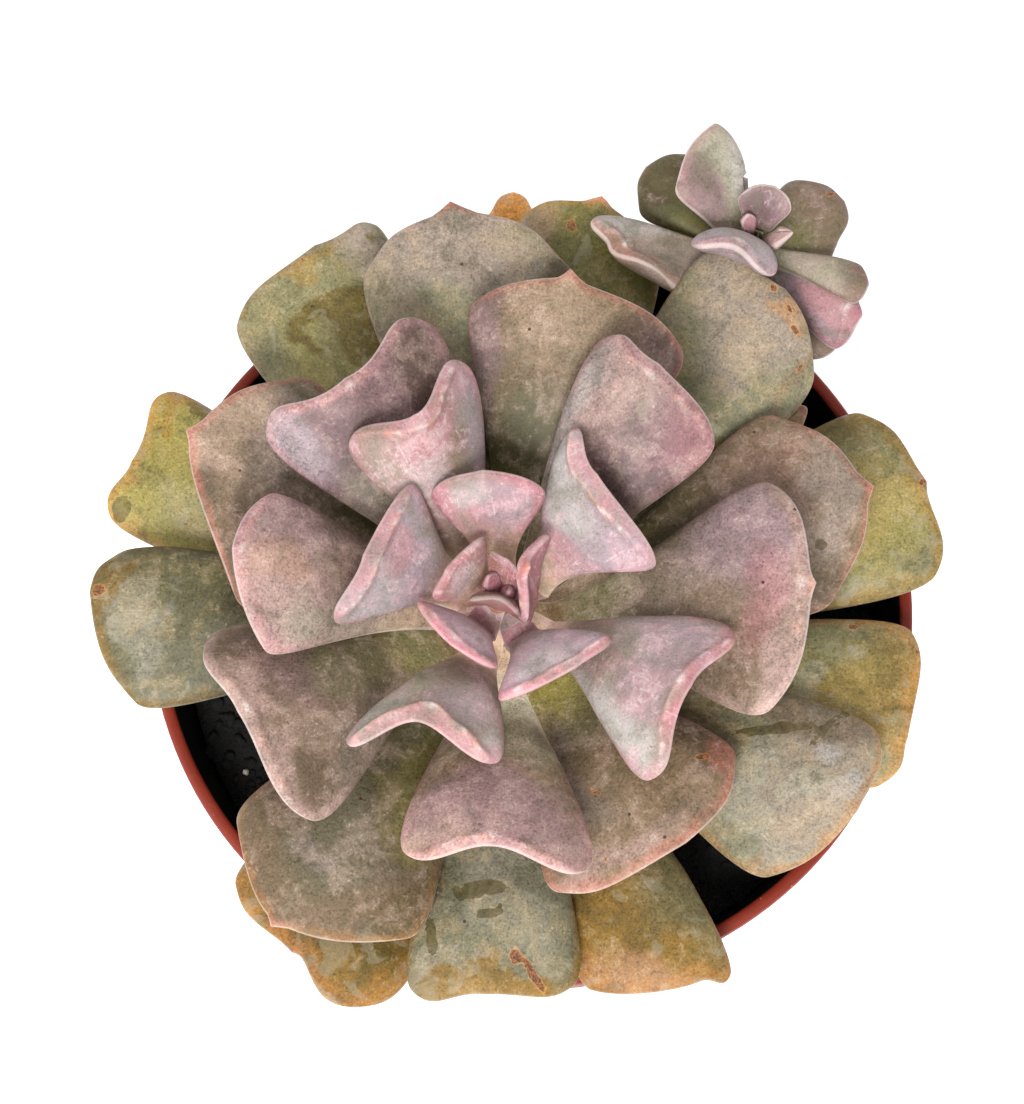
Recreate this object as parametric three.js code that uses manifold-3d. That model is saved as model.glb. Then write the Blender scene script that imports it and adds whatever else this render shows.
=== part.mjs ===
// Potted cubic frost echeveria: one fleshy rosette with a side shoot, standing in a round nursery pot.
// Millimetres, +Z up, +X to the right, +Y to the far side.
// The origin is the centre of the pot's base, on the surface that the pot stands on.
import * as THREE from "three";
import { mergeVertices } from "three/addons/utils/BufferGeometryUtils.js";
import Module from "manifold-3d";

const wasm = await Module();
wasm.setup();

// Pot: thin moulded plastic, with a deep collar under the rim and drain holes round its floor.
const POT_HEIGHT = 83;
const RIM_RADIUS = 51;
const RIM_LIP = 1.9;
const COLLAR_HEIGHT = 10;
const COLLAR_STEP = 1.6;
const COLLAR_FLARE = 0.8;
const RIM_ROUND = 0.8;
const WALL = 1.3;
const BASE_RADIUS = 37;
const FLOOR = 1.8;
const FOOT_BEVEL = 1;
const POT_SEGMENTS = 48;
const DRAIN_HOLES = 6;
const DRAIN_RADIUS = 4;
const DRAIN_CIRCLE = 27;
const DRAIN_SEGMENTS = 12;

// Peat mix, and the clearance that separate pieces keep.
const CLEARANCE = 0.3;
const SOIL_BELOW_RIM = 12;
const SOIL_RELIEF = 0.9;
const BROAD_HEAP = 5;
const FINE_HEAP = 2.4;
const SOIL_RINGS = 9;
const HOLE_DEPTH = 22;

// Stem of the rosette. Its axis stands a little off the pot's axis.
const STEM_X = -4;
const STEM_Y = -4;
const STEM_RADIUS = 5.5;
const STEM_TOP = 15.5;
const STEM_SHOULDER = 9;
const STEM_TIP_RADIUS = 1.8;
const STEM_SEGMENTS = 16;
const STEM_RINGS = 20;
const STEM_SCAR = 0.25;

// Colours and finishes.
const YOUNG_COLOUR = 0xb98f93;
const OLD_COLOUR = 0x8e8a55;
const TIP_COLOUR = 0xb9787f;
const SHOOT_COLOUR = 0x9a8a80;
const STEM_COLOUR = 0x7a6248;
const POT_COLOUR = 0x8a3a28;
const SOIL_COLOUR = 0x0b0908;
const LEAF_ROUGHNESS = 0.6;
const STEM_ROUGHNESS = 0.8;
const POT_ROUGHNESS = 0.45;
const SOIL_ROUGHNESS = 0.95;

// Leaves, numbered from the centre outwards. Each is seated a little lower than the one before.
const SEAT_TOP = 18.6;
const SEAT_STEP = 0.68;
const ROOT_HALF_WIDTH = 2.5;
const ROOT_THICKNESS = 2.2;
const BELLY_THICKNESS = 4.6;
// A leaf as long as this has its full thickness, and a shorter one less.
const FULL_LENGTH = 40;
const LEAST_SIZE = 0.3;
// Usual shape of a blade: its arch and the spread of its margins in degrees, and shares of its size.
const ARCH = 8;
const SPREAD = 12;
const FULLNESS = 0.35;
const HORN_ROUNDING = 0.3;
const MIDRIB_PULL = 0.36;
const MARGIN_PULL = 0.45;
const ROOT_SHARE = 0.6;
const FOOT_SETBACK = 0.6;
const ROOT_CUP = 0.15;
const HORN_RISE = 0.4;
const CREST_RISE = 0.25;
const CREST_DRAW = 0.1;
// How late the flesh thins towards the margins and the front.
const MARGIN_EDGE = 4;
const FRONT_EDGE = 12;
const BLADE_ROWS = [0, 0.18, 0.38, 0.58, 0.76, 0.9, 0.98, 1];
const BLADE_COLUMNS = [-1, -0.95, -0.78, -0.42, 0, 0.42, 0.78, 0.95, 1];

// One row for each large leaf, sizes from the stem's axis in the leaf's own direction.
// tip: out, to the left, height above the rim. left and right horns: out, aside, drop below the tip.
// full: how far the front bulges. round: how round the horns are. spread: of the left and right margin.
const LEAVES = [
  { age: 4, azimuth: 153, tip: [7, 1.5, 25], left: [7, 5, 2], right: [5, 5, 2] },
  { age: 5, azimuth: -10, tip: [3, 2.5, 25], left: [5, 8, 2], right: [4, 3.5, 2] },
  { age: 6, azimuth: -129, tip: [8.5, 0, 25], left: [8.5, 6, 2], right: [8, 7, 2.5] },
  { age: 7, azimuth: 95, tip: [14.5, 1, 27], left: [13, 7.5, 2.5], right: [12, 6.5, 2.5] },
  { age: 8, azimuth: -57, tip: [13, 2, 27], left: [13.5, 8, 3], right: [12, 8, 3] },
  { age: 9, azimuth: 162, tip: [16, 3, 28], left: [18, 11, 3], right: [14.5, 8.5, 2.5] },
  { age: 10, azimuth: 38, tip: [17.5, 3, 28.5], left: [20, 10.5, 3.5], right: [17, 10, 3.5] },
  { age: 11, azimuth: -112, tip: [21, -3, 28], left: [21.5, 8, 3.5], right: [26, 10, 3.5] },
  {
    age: 12, azimuth: 120, tip: [23.5, -1, 29.5], left: [25.5, 7, 4], right: [28, 10.5, 4],
    spread: [4, 12],
  },
  {
    age: 13, azimuth: -29, tip: [27.5, -1, 29.5], left: [28.5, 8.5, 4], right: [28.5, 13, 4],
    spread: [12, 6], full: 0.5,
  },
  {
    age: 14, azimuth: 176, tip: [33.5, -1, 30], left: [28.5, 11, 4], right: [30, 9.5, 4.5],
    full: 0.5, seat: 8.7,
  },
  {
    age: 15, azimuth: 50, tip: [32.5, 2.5, 30.5], left: [34, 10, 4], right: [31.5, 9, 4.5],
    spread: [26, 10],
  },
  { age: 16, azimuth: -92, tip: [34, 0, 28.2], left: [35.8, 12, 3.5], right: [34.5, 10.5, 4], seat: 7.5 },
  { age: 17, azimuth: 126, tip: [33, 0.5, 27.5], left: [34.5, 12, 4], right: [34.5, 13, 4], full: 0.6 },
  {
    age: 18, azimuth: 0, tip: [39, -0.5, 27], left: [35, 13.5, 4], right: [34, 15.5, 4],
    full: 0.45, spread: [3, 12],
  },
  {
    age: 19, azimuth: -151, tip: [36.5, -1.5, 24.5], left: [35, 14, 4], right: [35.5, 12.5, 4],
    full: 0.4, spread: [6, 12],
  },
  {
    age: 20, azimuth: 78, tip: [42.5, 0, 23.5], left: [37, 12, 3.5], right: [37.5, 16, 4],
    full: 0.6, spread: [5, 8],
  },
  { age: 21, azimuth: -55, tip: [39.5, 0.5, 20], left: [34, 12.5, 3.5], right: [35, 15.5, 4], full: 0.9 },
  { age: 22, azimuth: 153, tip: [45, -1, 20], left: [31, 14.5, 4], right: [37.5, 15, 4], full: 0.6 },
  { age: 23, azimuth: 15, tip: [49, 1.5, 19.5], left: [41.5, 15, 4], right: [41.5, 10.5, 4], full: 0.6 },
  {
    age: 24, azimuth: -123, tip: [49.5, -1, 17], left: [42.5, 13.5, 3.5], right: [42, 12.5, 3.5],
    full: 0.6,
  },
  { age: 25, azimuth: 97, tip: [54, 0, 17], left: [48.5, 12, 4], right: [46, 14.5, 4], full: 0.9 },
  {
    age: 26, azimuth: -33, tip: [52.5, 2, 14.5], left: [49.5, 12.6, 3], right: [47.5, 10.5, 3.5],
    full: 0.6,
  },
  { age: 27, azimuth: 179, tip: [53.3, -1.5, 12.5], left: [47, 12.5, 3], right: [50, 7.5, 3], full: 0.7 },
  {
    age: 28, azimuth: 48, tip: [57.8, 2, 15], left: [55.5, 13, 2.5], right: [53, 9, 3.5],
    full: 0.7, round: 0.4,
  },
  { age: 29, azimuth: -92, tip: [49.5, 0, 10], left: [47.5, 11, 3], right: [49, 9.5, 3], full: 0.5 },
  { age: 30, azimuth: 119, tip: [57.5, -3, 9.5], left: [53.5, 11, 3], right: [57, 11, 3], full: 0.9 },
  {
    age: 31, azimuth: -19, tip: [55, 2, 8], left: [51.5, 16.5, 3], right: [53.5, 4.5, 3],
    full: 0.5, spread: [16, 12], seat: -3.2,
  },
  { age: 33, azimuth: 75, tip: [59.3, 2, 9.5], left: [56.5, 11.5, 3], right: [53.5, 7.5, 3], full: 0.7 },
  { age: 34, azimuth: -66, tip: [53.5, 3.5, 6], left: [54, 8.2, 2.5], right: [48.5, 9, 2.5], full: 0.4 },
  { age: 35, azimuth: 158, tip: [54, -2, 6], left: [54, 5.5, 2.5], right: [54, 13.5, 2.5], full: 0.5 },
  { age: 36, azimuth: 16, tip: [59.5, 3, 6], left: [55, 15, 2.5], right: [57.5, 9, 2.5], full: 0.6 },
  {
    age: 37, azimuth: -121, tip: [50.5, -0.5, 4.5], left: [50.5, 11.5, 2], right: [47, 11.5, 2],
    full: 1.2,
  },
  {
    age: 38, azimuth: 88, tip: [62, 0.5, 3], left: [58.5, 4, 0.5], right: [58.5, 3, 0.5],
    size: 0.5, arch: 0, full: 0.8, round: 0.5,
  },
  {
    age: 39, azimuth: 40, tip: [51.5, 0, 6], left: [49, 2.6, 0.5], right: [48.5, 2.5, 0.5],
    size: 0.6, arch: 6, seat: -2.55,
  },
];

// The youngest leaves, fused to the growing tip. Heights above the rim.
const BUD_TOP = 21;
const BUD_COLLAR = 2;
const BUD_SEGMENTS = 10;
const SUNK_ROOT = 0.6;
const SMALL_ROWS = [0, 0.3, 0.6, 0.85, 0.97, 1];
const SMALL_COLUMNS = [-1, -0.9, -0.55, 0, 0.55, 0.9, 1];
const BUD_LEAVES = [
  { azimuth: -12, seat: 17.5, tip: [1.2, 0, 23.5], left: [1, 1, 1], right: [1, 1, 1] },
  { azimuth: 143, seat: 17, tip: [1.5, 0, 24], left: [1.2, 1.2, 1], right: [1.2, 1.2, 1] },
  { azimuth: -95, seat: 16.8, tip: [1.5, 0, 24.5], left: [2.3, 1.2, 1], right: [2, 3.6, 1] },
  { azimuth: 95, seat: 16.5, tip: [3.5, 0, 25], left: [4, 1.8, 1], right: [1.8, 1.9, 1] },
];

// Side shoot: the bearing of its stem, the stem's route as distance out and height above the rim,
// and its leaves, measured from its own growing tip.
const SHOOT_AZIMUTH = 57;
const SHOOT_RADIUS = 1.9;
const SHOOT_STEPS = 22;
const SHOOT_SEGMENTS = 8;
const SHOOT_ROUTE = [
  [7.7, -9],
  [20, -8.5],
  [36, -5.5],
  [48, 0],
  [55.5, 3.2],
  [60, 5],
  [61.5, 12],
];
const SHOOT_LEAVES = [
  {
    azimuth: 138, seat: 5, tip: [18, 0.5, 8], left: [14.5, 6.5, 1.5], right: [14.5, 6, 1.5],
    full: 0.6, round: 0.5,
  },
  {
    azimuth: 108, seat: 8.5, tip: [16, -0.5, 16], left: [9, 7.2, 1.5], right: [12, 1, 3],
    full: 0.6, round: 0.6, spread: [12, -12],
  },
  {
    azimuth: 65, seat: 9.5, tip: [7.5, -1, 17], left: [4, 4, 1.5], right: [6, 4, 1.5],
    full: 0.5, round: 0.5,
  },
  {
    azimuth: 30, seat: 5.5, tip: [15, 1.5, 8], left: [11, 6, 1.5], right: [12, 6, 1.5],
    full: 0.6, round: 0.5,
  },
  { azimuth: 188, seat: 5.5, tip: [19, -1, 14.5], left: [13, 3, 1.5], right: [21.5, 5.5, 2], arch: -14 },
  {
    azimuth: -115, seat: 9.5, tip: [1.5, -0.5, 18.5], left: [4.5, 4.5, 3], right: [5, 6.5, 3.5],
    round: 0.4,
  },
  { azimuth: 10, seat: 10.5, tip: [4.5, 0, 17], left: [3.5, 1.2, 1], right: [3.5, 1.2, 1] },
  { azimuth: 110, seat: 11, tip: [2, 0, 16], left: [1.5, 1, 1], right: [1.5, 1, 1] },
  { azimuth: -18, seat: 6.5, tip: [16.3, 0.5, 10.5], left: [15, 2.5, 1], right: [15.3, 4, 2], round: 0.4 },
  { azimuth: -33, seat: 4.5, tip: [18.5, 0, 8], left: [16, 3, 1.5], right: [17, 5, 2], round: 0.4 },
  { azimuth: -50, seat: 3.5, tip: [17.5, 0, 4], left: [15, 4, 1], right: [15, 4, 1], round: 0.5 },
];

const rad = THREE.MathUtils.degToRad;
const lerp = THREE.MathUtils.lerp;

// Joins and cuts

// A closed mesh as a solid that can be joined and cut.
function solidOf(geometry) {
  const bare = new THREE.BufferGeometry().setAttribute("position", geometry.getAttribute("position"));
  bare.setIndex(geometry.index);
  const merged = mergeVertices(bare, 1e-3);
  return new wasm.Manifold(
    new wasm.Mesh({
      numProp: 3,
      vertProperties: merged.attributes.position.array,
      triVerts: new Uint32Array(merged.index.array),
    }),
  );
}

function geometryOf(solid) {
  const mesh = solid.getMesh();
  const geometry = new THREE.BufferGeometry();
  geometry.setAttribute("position", new THREE.BufferAttribute(mesh.vertProperties, 3));
  geometry.setIndex(new THREE.BufferAttribute(mesh.triVerts, 1));
  geometry.computeVertexNormals();
  return geometry;
}

// Leaf blade

// Unit direction that climbs at a pitch, turned aside by a yaw, both in degrees.
function heading(pitch, yaw = 0) {
  const flat = Math.cos(rad(pitch));
  return new THREE.Vector3(flat * Math.cos(rad(yaw)), flat * Math.sin(rad(yaw)), Math.sin(rad(pitch)));
}

function curve(start, startPull, end, endPull) {
  return new THREE.CubicBezierCurve3(start, start.clone().add(startPull), end.clone().sub(endPull), end);
}

// The sheet at half the leaf's thickness: u runs from the root to the front, v from right to left.
// x points out from the stem, y to the leaf's left, z up.
function bladeSheet({ root, seat, tip, left, right, ...shape }) {
  const { arch = ARCH, full = FULLNESS, round = HORN_ROUNDING, spread = SPREAD } = shape;
  const [out, aside, height] = tip;
  const start = new THREE.Vector3(root, 0, seat);
  const point = new THREE.Vector3(out, aside, height);
  const length = start.distanceTo(point);
  const mean = THREE.MathUtils.radToDeg(Math.asin((height - seat) / length));
  const pull = MIDRIB_PULL * length;
  const midrib = curve(
    start,
    heading(mean + arch).multiplyScalar(pull),
    point,
    heading(mean - arch).multiplyScalar(pull),
  );
  const width = (left[1] + right[1]) / 2;
  const half = Math.min(ROOT_HALF_WIDTH, ROOT_SHARE * width);
  const edge = (horn, side) => {
    const corner = new THREE.Vector3(horn[0], side * horn[1], height - horn[2]);
    const foot = new THREE.Vector3(root, side * half, seat + ROOT_CUP * half);
    const turn = new THREE.Vector3(1, -side, HORN_RISE + Math.tan(rad(mean - arch))).normalize();
    const reach = round * width;
    const yaw = spread[side < 0 ? 1 : 0] ?? spread;
    const margin = curve(
      foot,
      heading(mean + arch, side * yaw).multiplyScalar(MARGIN_PULL * length),
      corner,
      turn.clone().multiplyScalar(reach),
    );
    const inward = new THREE.Vector3(CREST_DRAW, -side, CREST_RISE).multiplyScalar(full * horn[1]);
    const front = curve(corner, turn.clone().multiplyScalar(reach), point, inward);
    return { margin, front };
  };
  const sides = { left: edge(left, 1), right: edge(right, -1) };
  const arc = (u, v) => {
    const middle = midrib.getPoint(u);
    const a = sides.left.margin.getPoint(u);
    const b = sides.right.margin.getPoint(u);
    const across = a.clone().sub(b).multiplyScalar(v / 2);
    const bend = a.add(b).multiplyScalar(0.5).sub(middle).multiplyScalar(v * v);
    return middle.clone().add(across).add(bend);
  };
  const sheet = (u, v) => {
    const side = v < 0 ? sides.right : sides.left;
    const front = side.front.getPoint(1 - Math.abs(v));
    return arc(u, v).add(front.sub(arc(1, v)).multiplyScalar(u * u * u));
  };
  return { sheet, length };
}

// Half the flesh at a point: full along the middle, round at the margins and the front.
function halfThickness(u, v, size) {
  const full = lerp(ROOT_THICKNESS, BELLY_THICKNESS, Math.sin(Math.PI * u)) * size;
  return 0.5 * full * Math.sqrt(1 - Math.abs(v) ** MARGIN_EDGE) * Math.sqrt(1 - u ** FRONT_EDGE);
}

function bladeGeometry(leaf, rows = BLADE_ROWS, columns = BLADE_COLUMNS) {
  const { sheet, length } = bladeSheet(leaf);
  const size = leaf.size ?? Math.min(1, lerp(LEAST_SIZE, 1, length / FULL_LENGTH));
  const step = 1e-3;
  const top = [];
  const bottom = [];
  for (const u of rows) {
    for (const v of columns) {
      const middle = sheet(u, v);
      const low = Math.min(u, 1 - step);
      const side = Math.max(-1 + step, Math.min(v, 1 - step));
      const along = sheet(low + step, side).sub(sheet(low, side));
      const across = sheet(low, side + step).sub(sheet(low, side - step));
      const normal = along.cross(across).normalize();
      const half = halfThickness(u, v, size);
      top.push(middle.clone().addScaledVector(normal, half));
      bottom.push(middle.clone().addScaledVector(normal, -half));
    }
  }
  const count = columns.length;
  const points = [...top, ...bottom];
  const faces = [];
  const quad = (a, b, c, d) => faces.push([a, b, c], [a, c, d]);
  for (let i = 0; i + 1 < rows.length; i += 1) {
    for (let j = 0; j + 1 < count; j += 1) {
      const a = i * count + j;
      const b = a + count;
      quad(a, b, b + 1, a + 1);
      quad(a + top.length, a + 1 + top.length, b + 1 + top.length, b + top.length);
    }
  }
  for (let j = 0; j + 1 < count; j += 1) {
    quad(j, j + 1, j + 1 + top.length, j + top.length);
  }
  const geometry = new THREE.BufferGeometry().setFromPoints(points);
  geometry.setIndex(faces.flat());
  const merged = mergeVertices(geometry, 1e-4);
  const kept = [];
  for (let k = 0; k < merged.index.count; k += 3) {
    const [a, b, c] = merged.index.array.slice(k, k + 3);
    if (a !== b && b !== c && c !== a) kept.push(a, b, c);
  }
  merged.setIndex(kept);
  merged.computeVertexNormals();
  return merged;
}

// Pieces

function named(name, geometry, colour, roughness) {
  const material = new THREE.MeshStandardMaterial({ color: colour, roughness, metalness: 0 });
  const mesh = new THREE.Mesh(geometry, material);
  mesh.name = name;
  return mesh;
}

function lathe(profile, segments) {
  const points = profile.map(([radius, height]) => new THREE.Vector2(radius, height));
  const geometry = new THREE.LatheGeometry(points, segments);
  return geometry.rotateX(Math.PI / 2);
}

// The pot: a thin tapering wall, a collar that steps out under the rim, and holes round the floor.
function potGeometry() {
  const shoulder = POT_HEIGHT - COLLAR_HEIGHT;
  const inside = RIM_RADIUS - RIM_LIP;
  const body = RIM_RADIUS - COLLAR_STEP - COLLAR_FLARE;
  const shell = lathe(
    [
      [0, 0],
      [BASE_RADIUS - FOOT_BEVEL, 0],
      [BASE_RADIUS, FOOT_BEVEL],
      [body, shoulder],
      [RIM_RADIUS - COLLAR_FLARE, shoulder],
      [RIM_RADIUS, POT_HEIGHT - 2 * RIM_ROUND],
      [RIM_RADIUS - RIM_ROUND / 3, POT_HEIGHT - RIM_ROUND / 2],
      [RIM_RADIUS - RIM_ROUND, POT_HEIGHT],
      [inside + RIM_ROUND, POT_HEIGHT],
      [inside, POT_HEIGHT - RIM_ROUND],
      [body - WALL, shoulder - COLLAR_STEP],
      [BASE_RADIUS - WALL, FLOOR],
      [0, FLOOR],
    ],
    POT_SEGMENTS,
  );
  let pot = solidOf(shell);
  for (let k = 0; k < DRAIN_HOLES; k += 1) {
    const turn = (2 * Math.PI * (k + 0.5)) / DRAIN_HOLES;
    const hole = new THREE.CylinderGeometry(DRAIN_RADIUS, DRAIN_RADIUS, 3 * FLOOR, DRAIN_SEGMENTS);
    hole.rotateX(Math.PI / 2);
    hole.translate(DRAIN_CIRCLE * Math.cos(turn), DRAIN_CIRCLE * Math.sin(turn), FLOOR / 2);
    pot = pot.subtract(solidOf(hole));
  }
  return geometryOf(pot);
}

// The inside of the pot's wall at a height above its base, below the collar.
function wallInside(height) {
  const shoulder = POT_HEIGHT - COLLAR_HEIGHT - COLLAR_STEP;
  const top = RIM_RADIUS - COLLAR_STEP - COLLAR_FLARE - WALL;
  return lerp(BASE_RADIUS - WALL, top, (height - FLOOR) / (shoulder - FLOOR));
}

// Low heaps and hollows in the peat, as a height over its mean level.
function soilRelief(x, y) {
  const broad = Math.sin(x / BROAD_HEAP + 1.3) * Math.cos(y / BROAD_HEAP - 0.6);
  const fine = Math.sin((x - y) / FINE_HEAP) * Math.cos((x + y) / FINE_HEAP);
  return (SOIL_RELIEF * (broad + fine)) / 2;
}

// The peat fills the pot, with a plain hole where the stem stands.
function soilGeometry() {
  const low = FLOOR + CLEARANCE;
  const high = POT_HEIGHT - SOIL_BELOW_RIM;
  const edge = wallInside(high - SOIL_RELIEF) - CLEARANCE;
  const rings = [];
  for (let k = 0; k <= SOIL_RINGS; k += 1) rings.push([(edge * (SOIL_RINGS - k)) / SOIL_RINGS, high]);
  const heap = lathe([[0, low], [wallInside(low) - CLEARANCE, low], ...rings], POT_SEGMENTS);
  const points = heap.getAttribute("position");
  for (let k = 0; k < points.count; k += 1) {
    if (points.getZ(k) < high - 1) continue;
    points.setZ(k, high + soilRelief(points.getX(k), points.getY(k)));
  }
  const bore = STEM_RADIUS + CLEARANCE;
  const hole = new THREE.CylinderGeometry(bore, bore, 2 * HOLE_DEPTH, STEM_SEGMENTS).rotateX(Math.PI / 2);
  hole.translate(STEM_X, STEM_Y, high);
  return geometryOf(solidOf(heap).subtract(solidOf(hole)));
}

// The stem's radius at a height above the rim: a plain shaft that narrows to the growing tip.
function stemRadius(height) {
  const share = THREE.MathUtils.clamp((height - STEM_SHOULDER) / (STEM_TOP - STEM_SHOULDER), 0, 1);
  return lerp(STEM_RADIUS, STEM_TIP_RADIUS, share ** 1.5);
}

function stemGeometry() {
  const foot = -SOIL_BELOW_RIM - HOLE_DEPTH + CLEARANCE;
  const profile = [[0, foot]];
  for (let k = 0; k <= STEM_RINGS; k += 1) {
    const height = lerp(foot, STEM_TOP, k / STEM_RINGS);
    profile.push([stemRadius(height) - STEM_SCAR * (k % 2), height]);
  }
  return lathe([...profile, [0, STEM_TOP]], STEM_SEGMENTS);
}

// A leaf's seat: its height on a stem, and the distance that keeps its foot clear of the stem.
function seated(row, seat, radius) {
  const climb = Math.atan2(row.tip[2] - seat, row.tip[0] - radius) + rad(row.arch ?? ARCH);
  const root = radius + CLEARANCE + FOOT_SETBACK * ROOT_THICKNESS * Math.sin(Math.min(climb, Math.PI / 2));
  return { ...row, seat, root };
}

// A large leaf, seated on the stem by its age.
function leafMesh(row) {
  const seat = row.seat ?? SEAT_TOP - SEAT_STEP * row.age;
  const geometry = bladeGeometry(seated(row, seat, stemRadius(seat)));
  const share = (row.age - LEAVES[0].age) / (LEAVES.at(-1).age - LEAVES[0].age);
  const colour = new THREE.Color(YOUNG_COLOUR).lerp(new THREE.Color(OLD_COLOUR), share);
  const mesh = named(`leaf_${String(row.age).padStart(2, "0")}`, geometry, colour, LEAF_ROUGHNESS);
  mesh.rotation.z = rad(row.azimuth);
  return mesh;
}

// Small leaves fused to what they grow from, with their roots sunk into it.
function tufted(core, rows, x, y) {
  let solid = solidOf(core);
  for (const row of rows) {
    const blade = bladeGeometry({ root: SUNK_ROOT, ...row }, SMALL_ROWS, SMALL_COLUMNS);
    blade.rotateZ(rad(row.azimuth)).translate(x, y, 0);
    solid = solid.add(solidOf(blade));
  }
  return geometryOf(solid);
}

// The growing tip: a low cone of the youngest leaves.
function budGeometry() {
  const low = STEM_TOP + CLEARANCE;
  const waist = low + BUD_COLLAR;
  const profile = [[0, low], [STEM_TIP_RADIUS, low], [STEM_TIP_RADIUS, waist], [0, BUD_TOP]];
  const cone = lathe(profile, BUD_SEGMENTS);
  return tufted(cone, BUD_LEAVES, 0, 0);
}

// The side shoot: its stem leaves the main one low down, crosses the rim and turns up.
function shootGeometry() {
  const bearing = rad(SHOOT_AZIMUTH);
  const route = SHOOT_ROUTE.map(
    ([out, height]) => new THREE.Vector3(out * Math.cos(bearing), out * Math.sin(bearing), height),
  );
  const section = new THREE.Shape().absarc(0, 0, SHOOT_RADIUS, 0, 2 * Math.PI);
  const stalk = new THREE.ExtrudeGeometry(section, {
    extrudePath: new THREE.CatmullRomCurve3(route),
    steps: SHOOT_STEPS,
    curveSegments: SHOOT_SEGMENTS,
    bevelEnabled: false,
  });
  const crown = route[route.length - 1];
  return tufted(stalk, SHOOT_LEAVES, crown.x, crown.y);
}

const plant = new THREE.Group();
plant.position.set(STEM_X, STEM_Y, POT_HEIGHT);
plant.add(named("stem", stemGeometry(), STEM_COLOUR, STEM_ROUGHNESS));
plant.add(named("growing_tip", budGeometry(), TIP_COLOUR, LEAF_ROUGHNESS));
plant.add(...LEAVES.map(leafMesh));
plant.add(named("side_shoot", shootGeometry(), SHOOT_COLOUR, LEAF_ROUGHNESS));

const root = new THREE.Group();
root.add(named("pot", potGeometry(), POT_COLOUR, POT_ROUGHNESS));
root.add(named("soil", soilGeometry(), SOIL_COLOUR, SOIL_ROUGHNESS));
root.add(plant);
export default root;
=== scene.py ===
"""A potted cubic frost echeveria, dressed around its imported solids.

Metres, +Z up, +X to the right, +Y to the far side, origin at the centre of the pot's base.
Leaf sizes are in millimetres from the stem's axis, heights from the rim, as in the part itself.
"""

import logging
import math
from dataclasses import dataclass
from enum import Enum
from typing import Any, Sequence

import bpy
import numpy as np
from mathutils import Matrix, Vector


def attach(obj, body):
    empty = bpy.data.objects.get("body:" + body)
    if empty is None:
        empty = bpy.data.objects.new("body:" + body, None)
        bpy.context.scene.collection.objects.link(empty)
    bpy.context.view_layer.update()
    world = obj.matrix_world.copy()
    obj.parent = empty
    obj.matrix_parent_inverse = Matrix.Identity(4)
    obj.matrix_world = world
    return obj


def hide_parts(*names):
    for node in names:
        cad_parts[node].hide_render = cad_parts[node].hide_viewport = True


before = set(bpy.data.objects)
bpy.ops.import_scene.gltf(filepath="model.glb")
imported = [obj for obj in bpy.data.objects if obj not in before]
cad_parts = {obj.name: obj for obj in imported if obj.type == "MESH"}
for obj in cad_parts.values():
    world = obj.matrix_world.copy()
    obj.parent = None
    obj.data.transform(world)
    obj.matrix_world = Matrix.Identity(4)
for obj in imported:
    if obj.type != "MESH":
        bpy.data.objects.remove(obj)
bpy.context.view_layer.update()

LOG = logging.getLogger("echeveria")
MM = 0.001
RIM_HEIGHT = 83
STEM_AXIS = (-4, -4)
Array = np.ndarray
Pair = tuple[float, float]
Triple = tuple[float, float, float]
Piece = bpy.types.Object
Material = bpy.types.Material


# Colours


class Tint(Enum):
    """The plant's colours, as display values from 0 to 255."""

    # FROST_AND_GLINT: the bloom's frost white, also used for painted highlights and painted sheen
    FROST_AND_GLINT = (214, 206, 200)
    LILAC = (200, 178, 184)
    ORCHID = (182, 152, 160)
    MAUVE = (158, 124, 126)
    PLUM = (124, 92, 92)
    ROSE = (206, 132, 140)
    PETAL = (216, 142, 160)
    PINK = (222, 164, 166)
    BLUSH = (210, 174, 164)
    CORAL = (220, 136, 112)
    SALMON = (232, 166, 146)
    CREAM = (222, 190, 160)
    APRICOT = (214, 160, 118)
    FAWN = (164, 136, 104)
    TAUPE = (146, 120, 97)
    UMBER = (96, 75, 50)
    DOVE = (182, 162, 146)
    SILVER = (194, 186, 162)
    GLAUCOUS = (156, 150, 118)
    SAGE = (142, 135, 94)
    FERN = (116, 109, 56)
    MOSS = (86, 83, 34)
    OLIVE = (116, 97, 34)
    LIME = (174, 160, 84)
    OCHRE = (170, 128, 42)
    AMBER = (210, 142, 64)
    RUST = (136, 82, 50)
    CHAR = (60, 42, 30)

    @property
    def linear(self) -> Array:
        """The colour as linear red, green and blue from 0 to 1."""
        share = np.array(self.value, float) / 255
        return np.where(share <= 0.04045, share / 12.92, ((share + 0.055) / 1.055) ** 2.4)


# Node graphs


class Socket:
    """One output of a node. Plain arithmetic on it adds Math nodes to its graph."""

    def __init__(self, graph: "Graph", link: bpy.types.NodeSocket) -> None:
        """Wraps a socket of a graph's node."""
        self.graph, self.link = graph, link

    def sibling(self, name: str) -> "Socket":
        """Another output of the same node."""
        return Socket(self.graph, self.link.node.outputs[name])

    def __add__(self, other: "Value") -> "Socket":
        """This value plus another."""
        return self.graph.math("ADD", self, other)

    def __sub__(self, other: "Value") -> "Socket":
        """This value less another."""
        return self.graph.math("SUBTRACT", self, other)

    def __rsub__(self, other: "Value") -> "Socket":
        """Another value less this one."""
        return self.graph.math("SUBTRACT", other, self)

    def __mul__(self, other: "Value") -> "Socket":
        """This value times another."""
        return self.graph.math("MULTIPLY", self, other)

    __radd__ = __add__
    __rmul__ = __mul__


Value = float | Socket


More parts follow.
